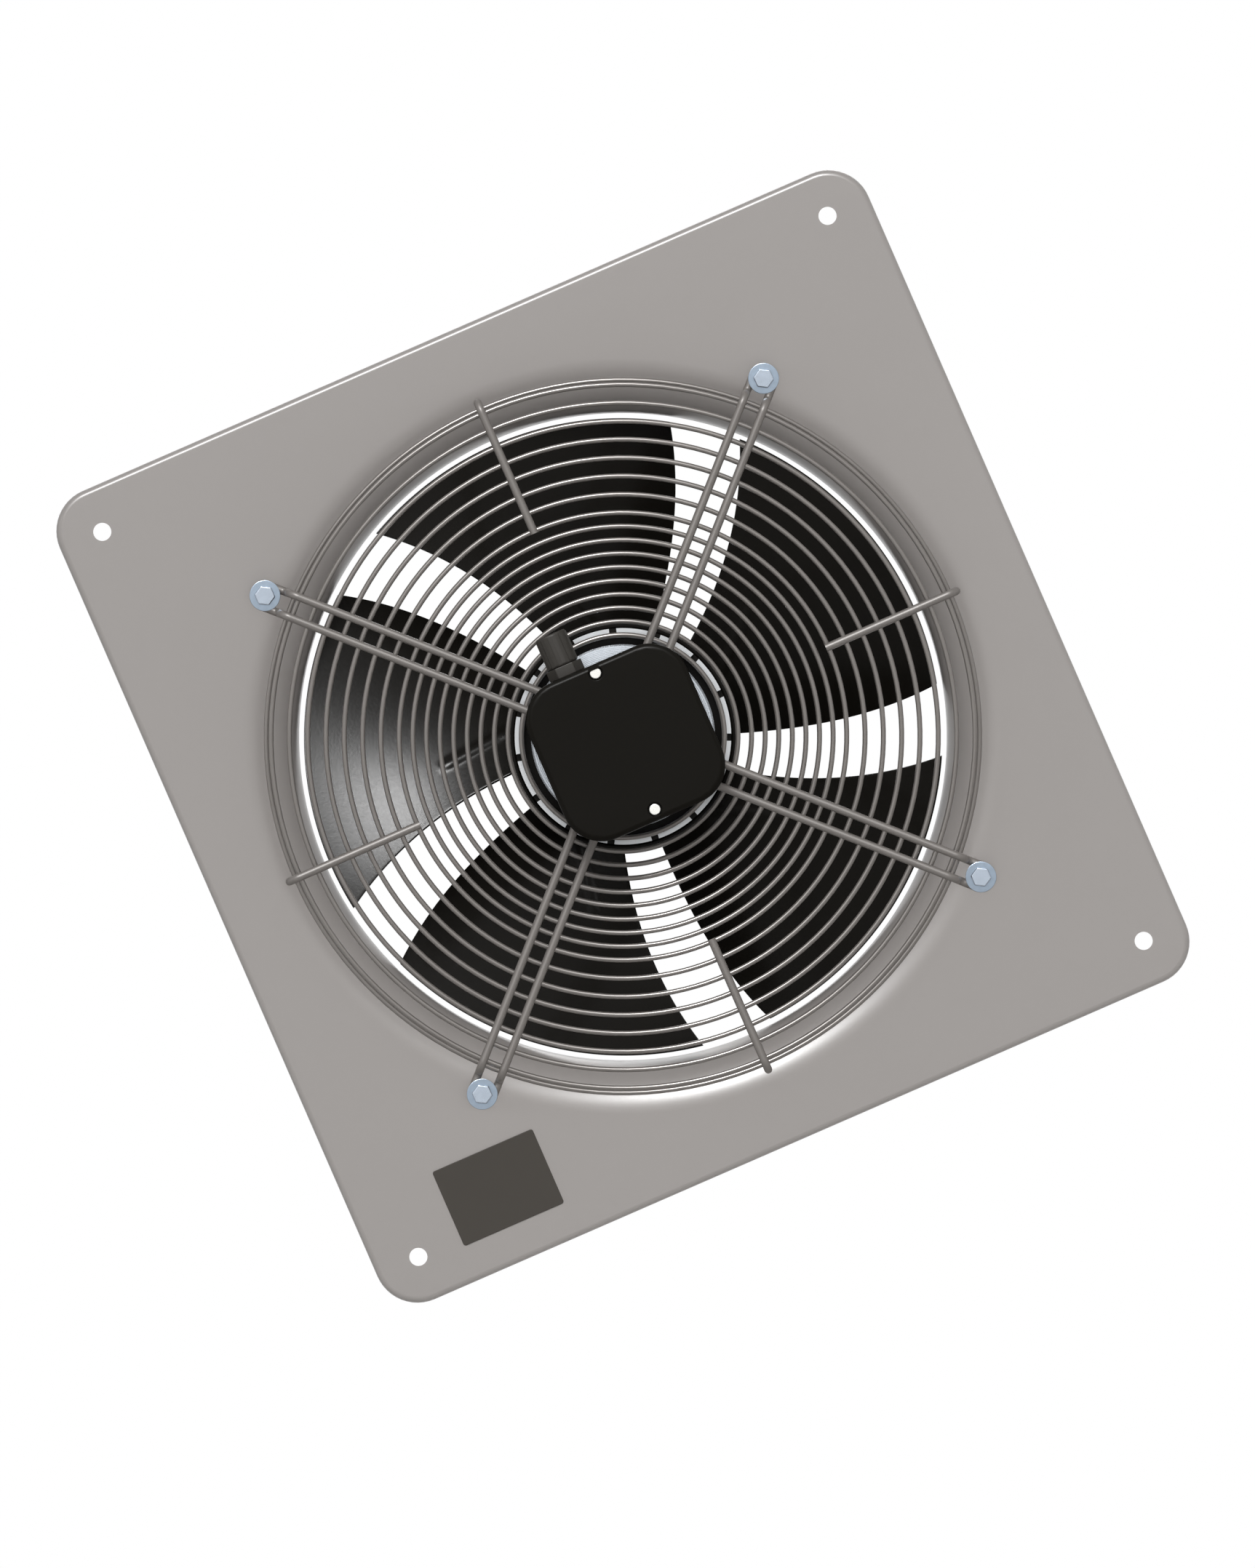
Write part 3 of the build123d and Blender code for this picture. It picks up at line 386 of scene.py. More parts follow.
class FanStageSettings(bpy.types.PropertyGroup):
    """Camera, floor and lights."""

    distance: length("Distance", "Distance of the camera from the plate", 12.936)
    roll: angle("Roll", "How far the plate looks turned, counter-clockwise", 23.55)
    shift_x: offset("Aim across", "How far the camera aims beside the fan's axis", 0.0025)
    shift_y: offset("Aim up", "How far the camera aims above the fan's axis", -0.0262)
    lens: bpy.props.FloatProperty(
        name="Lens", description="Focal length", default=540.0, subtype="DISTANCE_CAMERA"
    )
    floor: offset("Floor level", "Height of the floor over the fan's axis", -0.66)
    floor_size: length("Floor size", "Half of the floor's side", 2.0)
    floor_lead: length("Floor lead", "How far the floor's middle lies in front of the plate", 1.6)
    key: power("Key light", "Power of the soft light from above", 612.0)
    glint: power("Glint", "Power of the light that shows in the gloss alone", 2750.0)
    side: power("Side lights", "Power of each of the two lights beside the fan", 16.0)
    rear: power("Rear light", "Power of the light behind the fan", 60.0)
    sky: ratio("Sky", "Strength of the light from all round", 0.16)


# Materials. Each is named for the real finish, and patterns are scaled from sizes in millimetres.


def put(tree, kind, inputs, **settings):
    """Adds a node, sets its fields, and fills its sockets with values or other nodes' outputs."""
    node = tree.nodes.new(kind)
    for name, value in settings.items():
        setattr(node, name, value)
    for name, value in inputs.items():
        if isinstance(value, bpy.types.NodeSocket):
            tree.links.new(value, node.inputs[name])
        else:
            node.inputs[name].default_value = value
    return node


def per_metre(size_mm):
    """The pattern scale whose features are about this many millimetres across."""
    return 1000 / size_mm


def rgba(colour_value):
    """A colour with full alpha, for a shader's socket."""
    return (*tuple(colour_value)[:3], 1.0)


def shaded(colour_value, factor):
    """A lighter or darker version of a colour."""
    return rgba([min(1.0, c * factor) for c in tuple(colour_value)[:3]])


def finish(name, base, metallic, roughness, grain, patch, vary=0.06, shine=0.5):
    """A material whose colour drifts in soft patches and whose surface has a fine grain.

    The grain is its size and depth in millimetres, and it varies the roughness. The patch is its
    size in millimetres and the share by which the colour drifts. The shine is the specular level.
    """
    grain_mm, grain_depth_mm = grain
    patch_mm, drift = patch
    made = bpy.data.materials.new(name)
    made.use_nodes = True
    tree = made.node_tree
    tree.nodes.clear()
    place = put(tree, "ShaderNodeTexCoord", {}).outputs["Object"]
    patches = put(
        tree,
        "ShaderNodeTexNoise",
        {"Vector": place, "Scale": per_metre(patch_mm), "Detail": 3.0},
    )
    tint = put(
        tree,
        "ShaderNodeMix",
        {
            "Factor": patches.outputs["Fac"],
            "A": shaded(base, 1 - drift),
            "B": shaded(base, 1 + drift),
        },
        data_type="RGBA",
    )
    grains = put(
        tree,
        "ShaderNodeTexNoise",
        {"Vector": place, "Scale": per_metre(grain_mm), "Detail": 2.0},
    ).outputs["Fac"]
    gloss = put(
        tree,
        "ShaderNodeMapRange",
        {"Value": grains, "To Min": roughness - vary, "To Max": roughness + vary},
    )
    relief = put(
        tree,
        "ShaderNodeBump",
        {"Strength": 1.0, "Distance": grain_depth_mm * MM, "Height": grains},
    )
    shader = put(
        tree,
        "ShaderNodeBsdfPrincipled",
        {
            "Base Color": tint.outputs["Result"],
            "Metallic": metallic,
            "Specular IOR Level": shine,
            "Roughness": gloss.outputs["Result"],
            "Normal": relief.outputs["Normal"],
        },
    )
    put(tree, "ShaderNodeOutputMaterial", {"Surface": shader.outputs["BSDF"]})
    return made


def shader_of(material):
    """The material's Principled shader."""
    return next(n for n in material.node_tree.nodes if n.type == "BSDF_PRINCIPLED")


def add_rings(material, pitch_mm, depth_mm):
    """Cuts fine lathe rings round the fan's axis into a material's relief."""
    tree = material.node_tree
    normal = shader_of(material).inputs["Normal"]
    place = put(tree, "ShaderNodeTexCoord", {}).outputs["Object"]
    split = put(tree, "ShaderNodeSeparateXYZ", {"Vector": place}).outputs
    flat = put(tree, "ShaderNodeCombineXYZ", {"X": split["X"], "Y": split["Z"]}).outputs["Vector"]
    away = put(tree, "ShaderNodeVectorMath", {"Vector": flat}, operation="LENGTH")
    turns = put(
        tree,
        "ShaderNodeMath",
        {0: away.outputs["Value"], 1: FULL_TURN * per_metre(pitch_mm)},
        operation="MULTIPLY",
    )
    ridges = put(tree, "ShaderNodeMath", {0: turns.outputs["Value"]}, operation="SINE")
    lathe = put(
        tree,
        "ShaderNodeBump",
        {
            "Strength": 1.0,
            "Distance": depth_mm * MM,
            "Height": ridges.outputs["Value"],
            "Normal": normal.links[0].from_socket,
        },
    )
    tree.links.new(lathe.outputs["Normal"], normal)


def add_layers(material, direction, pitch_mm, depth_mm, dark):
    """Draws thin parallel lines across a material, such as sheet edges or turns of wire."""
    tree = material.node_tree
    tint, normal = (shader_of(material).inputs[name] for name in ("Base Color", "Normal"))
    place = put(tree, "ShaderNodeTexCoord", {}).outputs["Object"]
    lines = put(
        tree,
        "ShaderNodeTexWave",
        {"Vector": place, "Scale": per_metre(pitch_mm) / FULL_TURN},
        bands_direction=direction,
        wave_profile="SIN",
    ).outputs
    shade = put(
        tree,
        "ShaderNodeMix",
        {"Factor": dark, "A": tint.links[0].from_socket, "B": lines["Color"]},
        data_type="RGBA",
        blend_type="MULTIPLY",
    )
    tree.links.new(shade.outputs["Result"], tint)
    edges = put(
        tree,
        "ShaderNodeBump",
        {
            "Strength": 1.0,
            "Distance": depth_mm * MM,
            "Height": lines["Fac"],
            "Normal": normal.links[0].from_socket,
        },
    )
    tree.links.new(edges.outputs["Normal"], normal)


# Shapes


def at(radius, turn, height):
    """The point at a radius and an angle of the front view, at a height in front of the plate."""
    return Vector((radius * math.cos(turn), -height, radius * math.sin(turn)))


def facing(place, direction):
    """The matrix that sets a flat shape at a place, square to a direction."""
    turn = Vector((0, 0, 1)).rotation_difference(direction).to_matrix().to_4x4()
    return Matrix.Translation(place) @ turn


def only(kind, items):
    """The items of one kind, such as points."""
    return [item for item in items if isinstance(item, kind)]


def circle(bm, radius, place, steps):
    """The edges of a circle, set in place by a matrix."""
    points = bmesh.ops.create_circle(
        bm, cap_ends=False, segments=steps, radius=radius, matrix=place
    )["verts"]
    return list({edge for point in points for edge in point.link_edges})


def front_circle(bm, radius, x, y, z, steps):
    """The edges of a circle in the front view."""
    place = Matrix.Translation((x, y, z)) @ Matrix.Rotation(QUARTER, 4, "X")
    return circle(bm, radius, place, steps)


def turn_profile(bm, profile, steps, closed=True):
    """Turns a profile of (radius, height) points once round the fan's axis."""
    points = [bm.verts.new(at(radius, 0, height)) for radius, height in profile]
    following = points[1:] + points[:1] if closed else points[1:]
    lines = [bm.edges.new(pair) for pair in zip(points, following)]
    bmesh.ops.spin(
        bm,
        geom=points + lines,
        cent=(0, 0, 0),
        axis=AXIS,
        angle=FULL_TURN,
        steps=steps,
        use_merge=True,
        use_duplicate=False,
    )


def arc_points(centre, radius, start, end, steps):
    """Points of a round corner in a (radius, height) profile."""
    turns = [start + (end - start) * i / steps for i in range(steps + 1)]
    return [
        (centre[0] + radius * math.cos(t), centre[1] + radius * math.sin(t)) for t in turns
    ]


def soften(bm, width, segments=2, sharp=40):
    """Rounds every edge that is sharper than an angle in degrees."""
    edges = [e for e in bm.edges if len(e.link_faces) == 2]
    sharp_edges = [e for e in edges if e.calc_face_angle() > math.radians(sharp)]
    bmesh.ops.bevel(
        bm,
        geom=sharp_edges,
        offset=width,
        offset_type="OFFSET",
        segments=segments,
        profile=0.5,
        affect="EDGES",
        material=-1,
        clamp_overlap=True,
    )


def rod(bm, foot, direction, radius, reach, sides=ROD_SIDES):
    """A round rod from its foot along a direction."""
    return bmesh.ops.create_cone(
        bm,
        cap_ends=True,
        cap_tris=False,
        segments=sides,
        radius1=radius,
        radius2=radius,
        depth=reach,
        matrix=facing(foot + direction * reach / 2, direction),
    )["verts"]


def tube(bm, foot, direction, inner, outer, reach, sides=TUBE_SIDES):
    """A round tube from its foot along a direction, made from a ring that is extruded."""
    place = facing(foot, direction)
    edges = circle(bm, inner, place, sides) + circle(bm, outer, place, sides)
    ring = bmesh.ops.bridge_loops(bm, edges=edges)["faces"]
    grown = bmesh.ops.extrude_face_region(bm, geom=ring, use_keep_orig=True)["geom"]
    bmesh.ops.translate(bm, verts=only(bmesh.types.BMVert, grown), vec=direction * reach)


def rounded_loop(bm, size, corner, centre, height, steps):
    """A loop of edges in the front view: a rectangle with round corners."""
    points = []
    for quarter, (side_x, side_z) in enumerate(((1, 1), (-1, 1), (-1, -1), (1, -1))):
        for step in range(steps + 1):
            turn = (quarter + step / steps) * QUARTER
            x = centre[0] + side_x * (size[0] / 2 - corner) + corner * math.cos(turn)
            z = centre[1] + side_z * (size[1] / 2 - corner) + corner * math.sin(turn)
            points.append(bm.verts.new((x, -height, z)))
    return [bm.edges.new(pair) for pair in zip(points, points[1:] + points[:1])]


def rounded_shell(bm, size, corner, centre, rungs, steps):
    """Rounded loops joined in turn. Each rung is an inset and a height. Returns the loops."""
    loops = [
        rounded_loop(
            bm, (size[0] - 2 * inset, size[1] - 2 * inset), corner - inset, centre, height, steps
        )
        for inset, height in rungs
    ]
    for lower, upper in zip(loops, loops[1:]):
        bmesh.ops.bridge_loops(bm, edges=lower + upper)
    return loops


def edge_rungs(height, radius, turns, side=1):
    """The rungs of a round edge that ends at a height: a front edge, or with -1 a rear edge."""
    return [
        (radius * (1 - math.cos(turn)), height - side * radius * (1 - math.sin(turn)))
        for turn in turns
    ]


class WireRun:
    """A round wire that is bent from its start: it runs straight or turns about a centre."""

    def __init__(self, bm, start, heading, wire):
        self.bm = bm
        self.place = Vector(start)
        self.heading = Vector(heading).normalized()
        self.edges = circle(bm, wire / 2, facing(self.place, self.heading), BAR_SIDES)
        self.first = list(self.edges)

    def run(self, reach):
        """Runs straight on."""
        grown = bmesh.ops.extrude_edge_only(self.bm, edges=self.edges)["geom"]
        points = only(bmesh.types.BMVert, grown)
        bmesh.ops.translate(self.bm, verts=points, vec=self.heading * reach)
        self.edges = [edge for edge in only(bmesh.types.BMEdge, grown) if edge.is_boundary]
        self.place += self.heading * reach

    def bend(self, towards, radius, turn, steps):
        """Bends towards a side, about a centre at the bend's radius."""
        towards = Vector(towards).normalized()
        centre = self.place + towards * radius
        axis = self.heading.cross(towards).normalized()
        points = list({point for edge in self.edges for point in edge.verts})
        last = bmesh.ops.spin(
            self.bm,
            geom=points + self.edges,
            cent=centre,
            axis=axis,
            angle=turn,
            steps=steps,
            use_merge=False,
            use_duplicate=False,
        )["geom_last"]
        self.edges = only(bmesh.types.BMEdge, last)
        rotation = Matrix.Rotation(turn, 3, axis)
        self.place = centre + rotation @ (self.place - centre)
        self.heading = rotation @ self.heading

    def close_ends(self):
        """Closes both ends with a cap."""
        bmesh.ops.edgeloop_fill(self.bm, edges=self.first)
        bmesh.ops.edgeloop_fill(self.bm, edges=self.edges)


def show(bm, name, nodes, body, material, outwards=True):
    """Makes a finished piece from a bmesh, in place of CAD nodes, and returns it."""
    bmesh.ops.remove_doubles(bm, verts=bm.verts, dist=WELD)
    if outwards:
        bmesh.ops.recalc_face_normals(bm, faces=bm.faces)
    mesh = bpy.data.meshes.new(name)
    bm.to_mesh(mesh)
    bm.free()
    if mesh.has_custom_normals:
        mesh.attributes.remove(mesh.attributes["custom_normal"])
    mesh.materials.append(bpy.data.materials[material])
    mesh.shade_smooth()
    mesh.set_sharp_from_angle(angle=SMOOTH_LIMIT)
    piece = bpy.data.objects.new(name, mesh)
    bpy.context.scene.collection.objects.link(piece)
    level = piece.modifiers.new("flat_faces_look_flat", "WEIGHTED_NORMAL")
    level.keep_sharp = True
    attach(piece, body)
    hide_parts(*nodes)
    return piece


def dress_node(node, body, material):
    """A welded, smooth-shaded copy of a CAD node, in its material."""
    bm = bmesh.new()
    bm.from_mesh(frame["nodes"][node].data)
    return show(bm, f"{node}_dressed", [node], body, material, outwards=False)


def arm_turns():
    """The directions of the guard's arms, on the diagonals."""
    return [FULL_TURN / ARMS * (i + 0.5) for i in range(ARMS)]


class FanOperator(bpy.types.Operator):
    """What the operators share: each is a step in the undo list."""

    bl_options = {"REGISTER", "UNDO"}


class FAN_OT_finishes(FanOperator):
    """Makes every material before the pieces use it"""

    bl_idname = "fan.finishes"
    bl_label = "Finishes"

    def execute(self, context):
        # Each call gives the colour, how metallic and how rough the surface is, the grain's size
        # and depth, and the patches' size and drift. Sizes are in millimetres.
        hue = context.scene.fan_colours
        # Polyester powder on sheet: matt, with the low orange peel of a baked coat
        finish("powder_coated_steel", hue.powder_coat, 0.0, 0.34, (1.2, 0.008), (90.0, 0.015))
        # A thin dip coat on drawn wire: smooth and even, with soft highlights along the wire
        finish("dipped_wire_coat", hue.wire_coat, 0.2, 0.31, (0.8, 0.004), (25.0, 0.08), shine=0.65)
        # The same coat on the arms and struts, where it runs thicker and duller
        finish("dipped_bar_coat", hue.wire_coat, 0.1, 0.46, (1.2, 0.01), (25.0, 0.06))
        # Zinc plating under a thin blue passivation: a bright metal with a cloudy blue cast
        finish("blue_passivated_zinc", hue.zinc, 0.9, 0.24, (0.6, 0.004), (5.0, 0.12))
        # The same plating on the washers' rolled surface: duller and darker
        finish("dull_blue_zinc", hue.washers, 0.9, 0.32, (0.6, 0.005), (3.0, 0.12))
        # Aluminium faced on a lathe: bright, with rings, drawn coarser than real ones to show
        faced = finish(
            "turned_aluminium", hue.aluminium, 0.85, 0.26, (0.7, 0.004), (30.0, 0.05)
        )
        add_rings(faced, pitch_mm=0.9, depth_mm=0.008)
        # Black stove enamel on pressed steel: smooth and low in shine, with a gentle orange peel
        finish(
            "semi_gloss_black_coat",
            hue.black_paint,
            0.0,
            0.25,
            (1.6, 0.02),
            (70.0, 0.08),
            vary=0.04,
            shine=0.1,
        )
        # ABS from a spark-eroded mould: black, with a fine even grain that dulls the highlights
        finish("moulded_black_abs", hue.abs_black, 0.0, 0.36, (0.5, 0.02), (60.0, 0.05), shine=0.06)
        # Glass-filled polyamide: dark grey-brown, slightly uneven where the fibres surface
        finish("moulded_polyamide", hue.polyamide, 0.0, 0.5, (0.6, 0.03), (8.0, 0.1), shine=0.2)
        # Polyester film: smooth and flat, in one dark colour
        finish("printed_label_film", hue.label, 0.0, 0.32, (3.0, 0.004), (40.0, 0.03), shine=0.12)
        # Bright nickel on the lid screws: a warm white metal
        finish("nickel_plated_steel", linear("#e6e5e0"), 0.9, 0.28, (0.5, 0.004), (4.0, 0.04))
        # Nitrile rubber: dead black and dry
        finish("black_rubber", linear("#171716"), 0.0, 0.75, (0.8, 0.03), (12.0, 0.1))
        # Hardened steel ground and honed: mirror-like with hardly any grain
        finish("ground_bearing_steel", linear("#c9cbcd"), 1.0, 0.16, (0.4, 0.002), (10.0, 0.03))
        # The rotor's cast rim, faced on a lathe: a bright satin metal
        finish("machined_rim", linear("#c3c5c7"), 0.9, 0.3, (0.9, 0.002), (12.0, 0.04))
        # Free-cutting steel off the lathe: grey, satin
        finish("turned_steel", linear("#a5a6a8"), 1.0, 0.3, (0.5, 0.006), (10.0, 0.05))
        # A stack of half-millimetre sheets: grey steel edges, drawn as 1 mm lines to show
        stack = finish(
            "stacked_electrical_sheet", linear("#6f7276"), 0.8, 0.42, (0.6, 0.01), (12.0, 0.08)
        )
        add_layers(stack, "Y", pitch_mm=1.0, depth_mm=0.05, dark=0.45)
        # Enamelled copper under varnish: reddish turns about a millimetre apart
        wound = finish(
            "varnished_copper_winding", linear("#a4582e"), 0.6, 0.3, (1.2, 0.03), (9.0, 0.15)
        )
        add_layers(wound, "DIAGONAL", pitch_mm=1.0, depth_mm=0.15, dark=0.5)
        # PBT insulators: off-white, slightly waxy
        finish("white_moulded_pbt", linear("#dcdbd4"), 0.0, 0.4, (0.8, 0.01), (20.0, 0.03))
        # Brass screws and washers: yellow and bright, with light tarnish
        finish("turned_brass", linear("#c9a657"), 1.0, 0.28, (0.5, 0.006), (6.0, 0.1))
        # The capacitor's polypropylene can: light, smooth and glossy
        finish("smooth_polypropylene_can", linear("#dcdcd8"), 0.0, 0.25, (2.0, 0.006), (30.0, 0.02))
        # The ball cages' bare polyamide: a warm ivory
        finish("natural_polyamide", linear("#b9a67c"), 0.0, 0.45, (0.6, 0.01), (6.0, 0.05))
        return {"FINISHED"}


class FAN_OT_wall_plate(FanOperator):
    """Builds the folded wall plate with its bell mouth, nozzle and wall-screw holes"""

    bl_idname = "fan.wall_plate"
    bl_label = "Wall plate"

    def execute(self, context):
        size = context.scene.fan_plate
        bm = bmesh.new()
        rungs = [(0, -size.fold)] + edge_rungs(0, size.bend, EDGE_TURNS)
        outline = (size.side, size.side)
        flat = rounded_shell(bm, outline, size.corner, (0, 0), rungs, PLATE_CORNER_STEPS)[-1]
        # The bell mouth and the nozzle, whose front rim joins the flat face
        before = set(bm.edges)
        roll_centre = (size.throat + size.bell, -size.bell)
        roll = arc_points(roll_centre, size.bell, QUARTER, math.pi, BELL_STEPS)
        turn_profile(bm, roll + [(size.throat, -size.depth)], NOZZLE_STEPS, closed=False)
        rims = [
            edge
            for edge in set(bm.edges) - before
            if edge.is_boundary and all(abs(v.co.y) < WELD for v in edge.verts)
        ]
        half = size.pitch / 2
        for x in (-half, half):
            for z in (-half, half):
                rims += front_circle(bm, size.hole, x, 0, z, HOLE_STEPS)
        screw_hole = context.scene.fan_fasteners.hole
        for turn in arm_turns():
            spot = at(context.scene.fan_guard.plate_screws, turn, 0)
            rims += front_circle(bm, screw_hole, spot.x, 0, spot.z, HOLE_STEPS)
        bmesh.ops.triangle_fill(bm, use_beauty=True, use_dissolve=False, edges=flat + rims)
        bmesh.ops.remove_doubles(bm, verts=bm.verts, dist=WELD)
        bmesh.ops.recalc_face_normals(bm, faces=bm.faces)
        front = next(
            face
            for face in bm.faces
            if face.calc_center_median().y > -WELD and abs(face.normal.y) > SQUARE_ON
        )
        if front.normal.y > 0:
            bmesh.ops.reverse_faces(bm, faces=bm.faces)
        bmesh.ops.solidify(bm, geom=bm.faces[:], thickness=size.sheet)
        coat = "powder_coated_steel"
        show(bm, "folded_wall_plate", ["wall_plate"], "fan_frame", coat)
        return {"FINISHED"}


class FAN_OT_guard(FanOperator):
    """Builds the guard's rings, closed arms and short struts from round wire"""

    bl_idname = "fan.guard"
    bl_label = "Wire guard"

    def execute(self, context):
        size = context.scene.fan_guard
        coat, bar_coat = "dipped_wire_coat", "dipped_bar_coat"
        radii = [size.inner_ring + size.fine_pitch * i for i in range(size.fine_rings)]
        last_fine = radii[-1]
        coarse_pitch = (size.base_ring - size.outer_inset - last_fine) / size.coarse_rings
        radii += [last_fine + coarse_pitch * (i + 1) for i in range(size.coarse_rings)]
        height = size.height - size.ring_wire / 2
        bm = bmesh.new()
        for radius in radii:
            self.ring(bm, radius, height, size.ring_wire)
        show(bm, "guard_face_rings", ["guard_rings"], "fan_frame", coat)
        bm = bmesh.new()
        self.ring(bm, size.base_ring, size.base_height, size.ring_wire)
        show(bm, "guard_plate_ring", ["guard_base_ring"], "fan_frame", coat)
        leg = size.base_ring + (size.ring_wire + size.arm_wire) / 2
        for number, turn in enumerate(arm_turns(), start=1):
            bm = bmesh.new()
            self.arm(bm, size, turn, leg)
            name = f"guard_arm_{number}"
            show(bm, f"{name}_wire", [name], "fan_frame", bar_coat)
        for number, turn in enumerate(arm_turns(), start=1):
            bm = bmesh.new()
            self.strut(bm, size, turn - math.pi / ARMS, leg, last_fine)
            name = f"guard_strut_{number}"
            show(bm, f"{name}_wire", [name], "fan_frame", bar_coat)
        return {"FINISHED"}

    def ring(self, bm, radius, height, wire):
        """One welded ring of round wire."""
        profile = arc_points((radius, height), wire / 2, 0, FULL_TURN, RING_WIRE_SIDES)[:-1]
        turn_profile(bm, profile, RING_STEPS)

    def arm(self, bm, size, turn, leg):
        """One arm: two wires in one closed loop, round a motor screw and a plate screw."""
        outwards, across, forwards = at(1, turn, 0), at(1, turn + QUARTER, 0), -AXIS
        side = size.leg_spacing / 2
        top = size.height + size.arm_wire / 2
        drop = top - size.arm_wire / 2 - size.shoulder - size.foot
        arm_reach = leg - size.shoulder - size.motor_screws
        foot_reach = size.plate_screws - leg - size.foot
        start = outwards * size.motor_screws + across * side + forwards * top
        wire = WireRun(bm, start, outwards, size.arm_wire)
        wire.run(arm_reach)
        wire.bend(AXIS, size.shoulder, QUARTER, BEND_STEPS)
        wire.run(drop)
        wire.bend(outwards, size.foot, QUARTER, BEND_STEPS)
        wire.run(foot_reach)
        wire.bend(-across, side, math.pi, LOOP_STEPS)
        wire.run(foot_reach)
        wire.bend(forwards, size.foot, QUARTER, BEND_STEPS)
        wire.run(drop)
        wire.bend(-outwards, size.shoulder, QUARTER, BEND_STEPS)
        wire.run(arm_reach)
        wire.bend(across, side, math.pi, LOOP_STEPS)

    def strut(self, bm, size, turn, leg, last_fine):
        """One short strut, turned down to the ring near the plate."""
        outwards = at(1, turn, 0)
        start = last_fine - size.ring_wire / 2
        top = size.height + size.arm_wire / 2
        wire = WireRun(bm, at(start, turn, top), outwards, size.arm_wire)
        wire.run(leg - size.shoulder - start)
        wire.bend(AXIS, size.shoulder, QUARTER, BEND_STEPS)
        wire.run(top - size.shoulder - size.strut_foot)
        wire.close_ends()


class FAN_OT_fasteners(FanOperator):
    """Builds the hexagon screws and washers that hold the guard and the motor"""

    bl_idname = "fan.fasteners"
    bl_label = "Screws and washers"

    def execute(self, context):
        guard, size = context.scene.fan_guard, context.scene.fan_fasteners
        zinc, dull_zinc = "blue_passivated_zinc", "dull_blue_zinc"
        # A hexagon's corners lie farther out than its flats
        corner_radius = size.head / math.sqrt(3)
        for kind, from_axis in (("guard", guard.plate_screws), ("motor", guard.motor_screws)):
            washers, screws = f"{kind}_washers", f"{kind}_screws"
            foot, seat = back_of(washers), front_of(washers)
            bm = bmesh.new()
            for turn in arm_turns():
                place = at(from_axis, turn, foot)
                tube(bm, place, -AXIS, size.washer_hole, size.washer, seat - foot)
            soften(bm, size.washer_edge)
            show(bm, f"{kind}_flat_washers", [washers], "fan_frame", dull_zinc)
            bm = bmesh.new()
            head = front_of(screws) - seat
            for turn in arm_turns():
                rod(bm, at(from_axis, turn, seat), -AXIS, corner_radius, head, HEXAGON_SIDES)
            soften(bm, size.head_edge, segments=3)
            for turn in arm_turns():
                rod(bm, at(from_axis, turn, seat), AXIS, size.shank, seat - back_of(screws))
            show(bm, f"{kind}_hexagon_screws", [screws], "fan_frame", zinc)
        return {"FINISHED"}


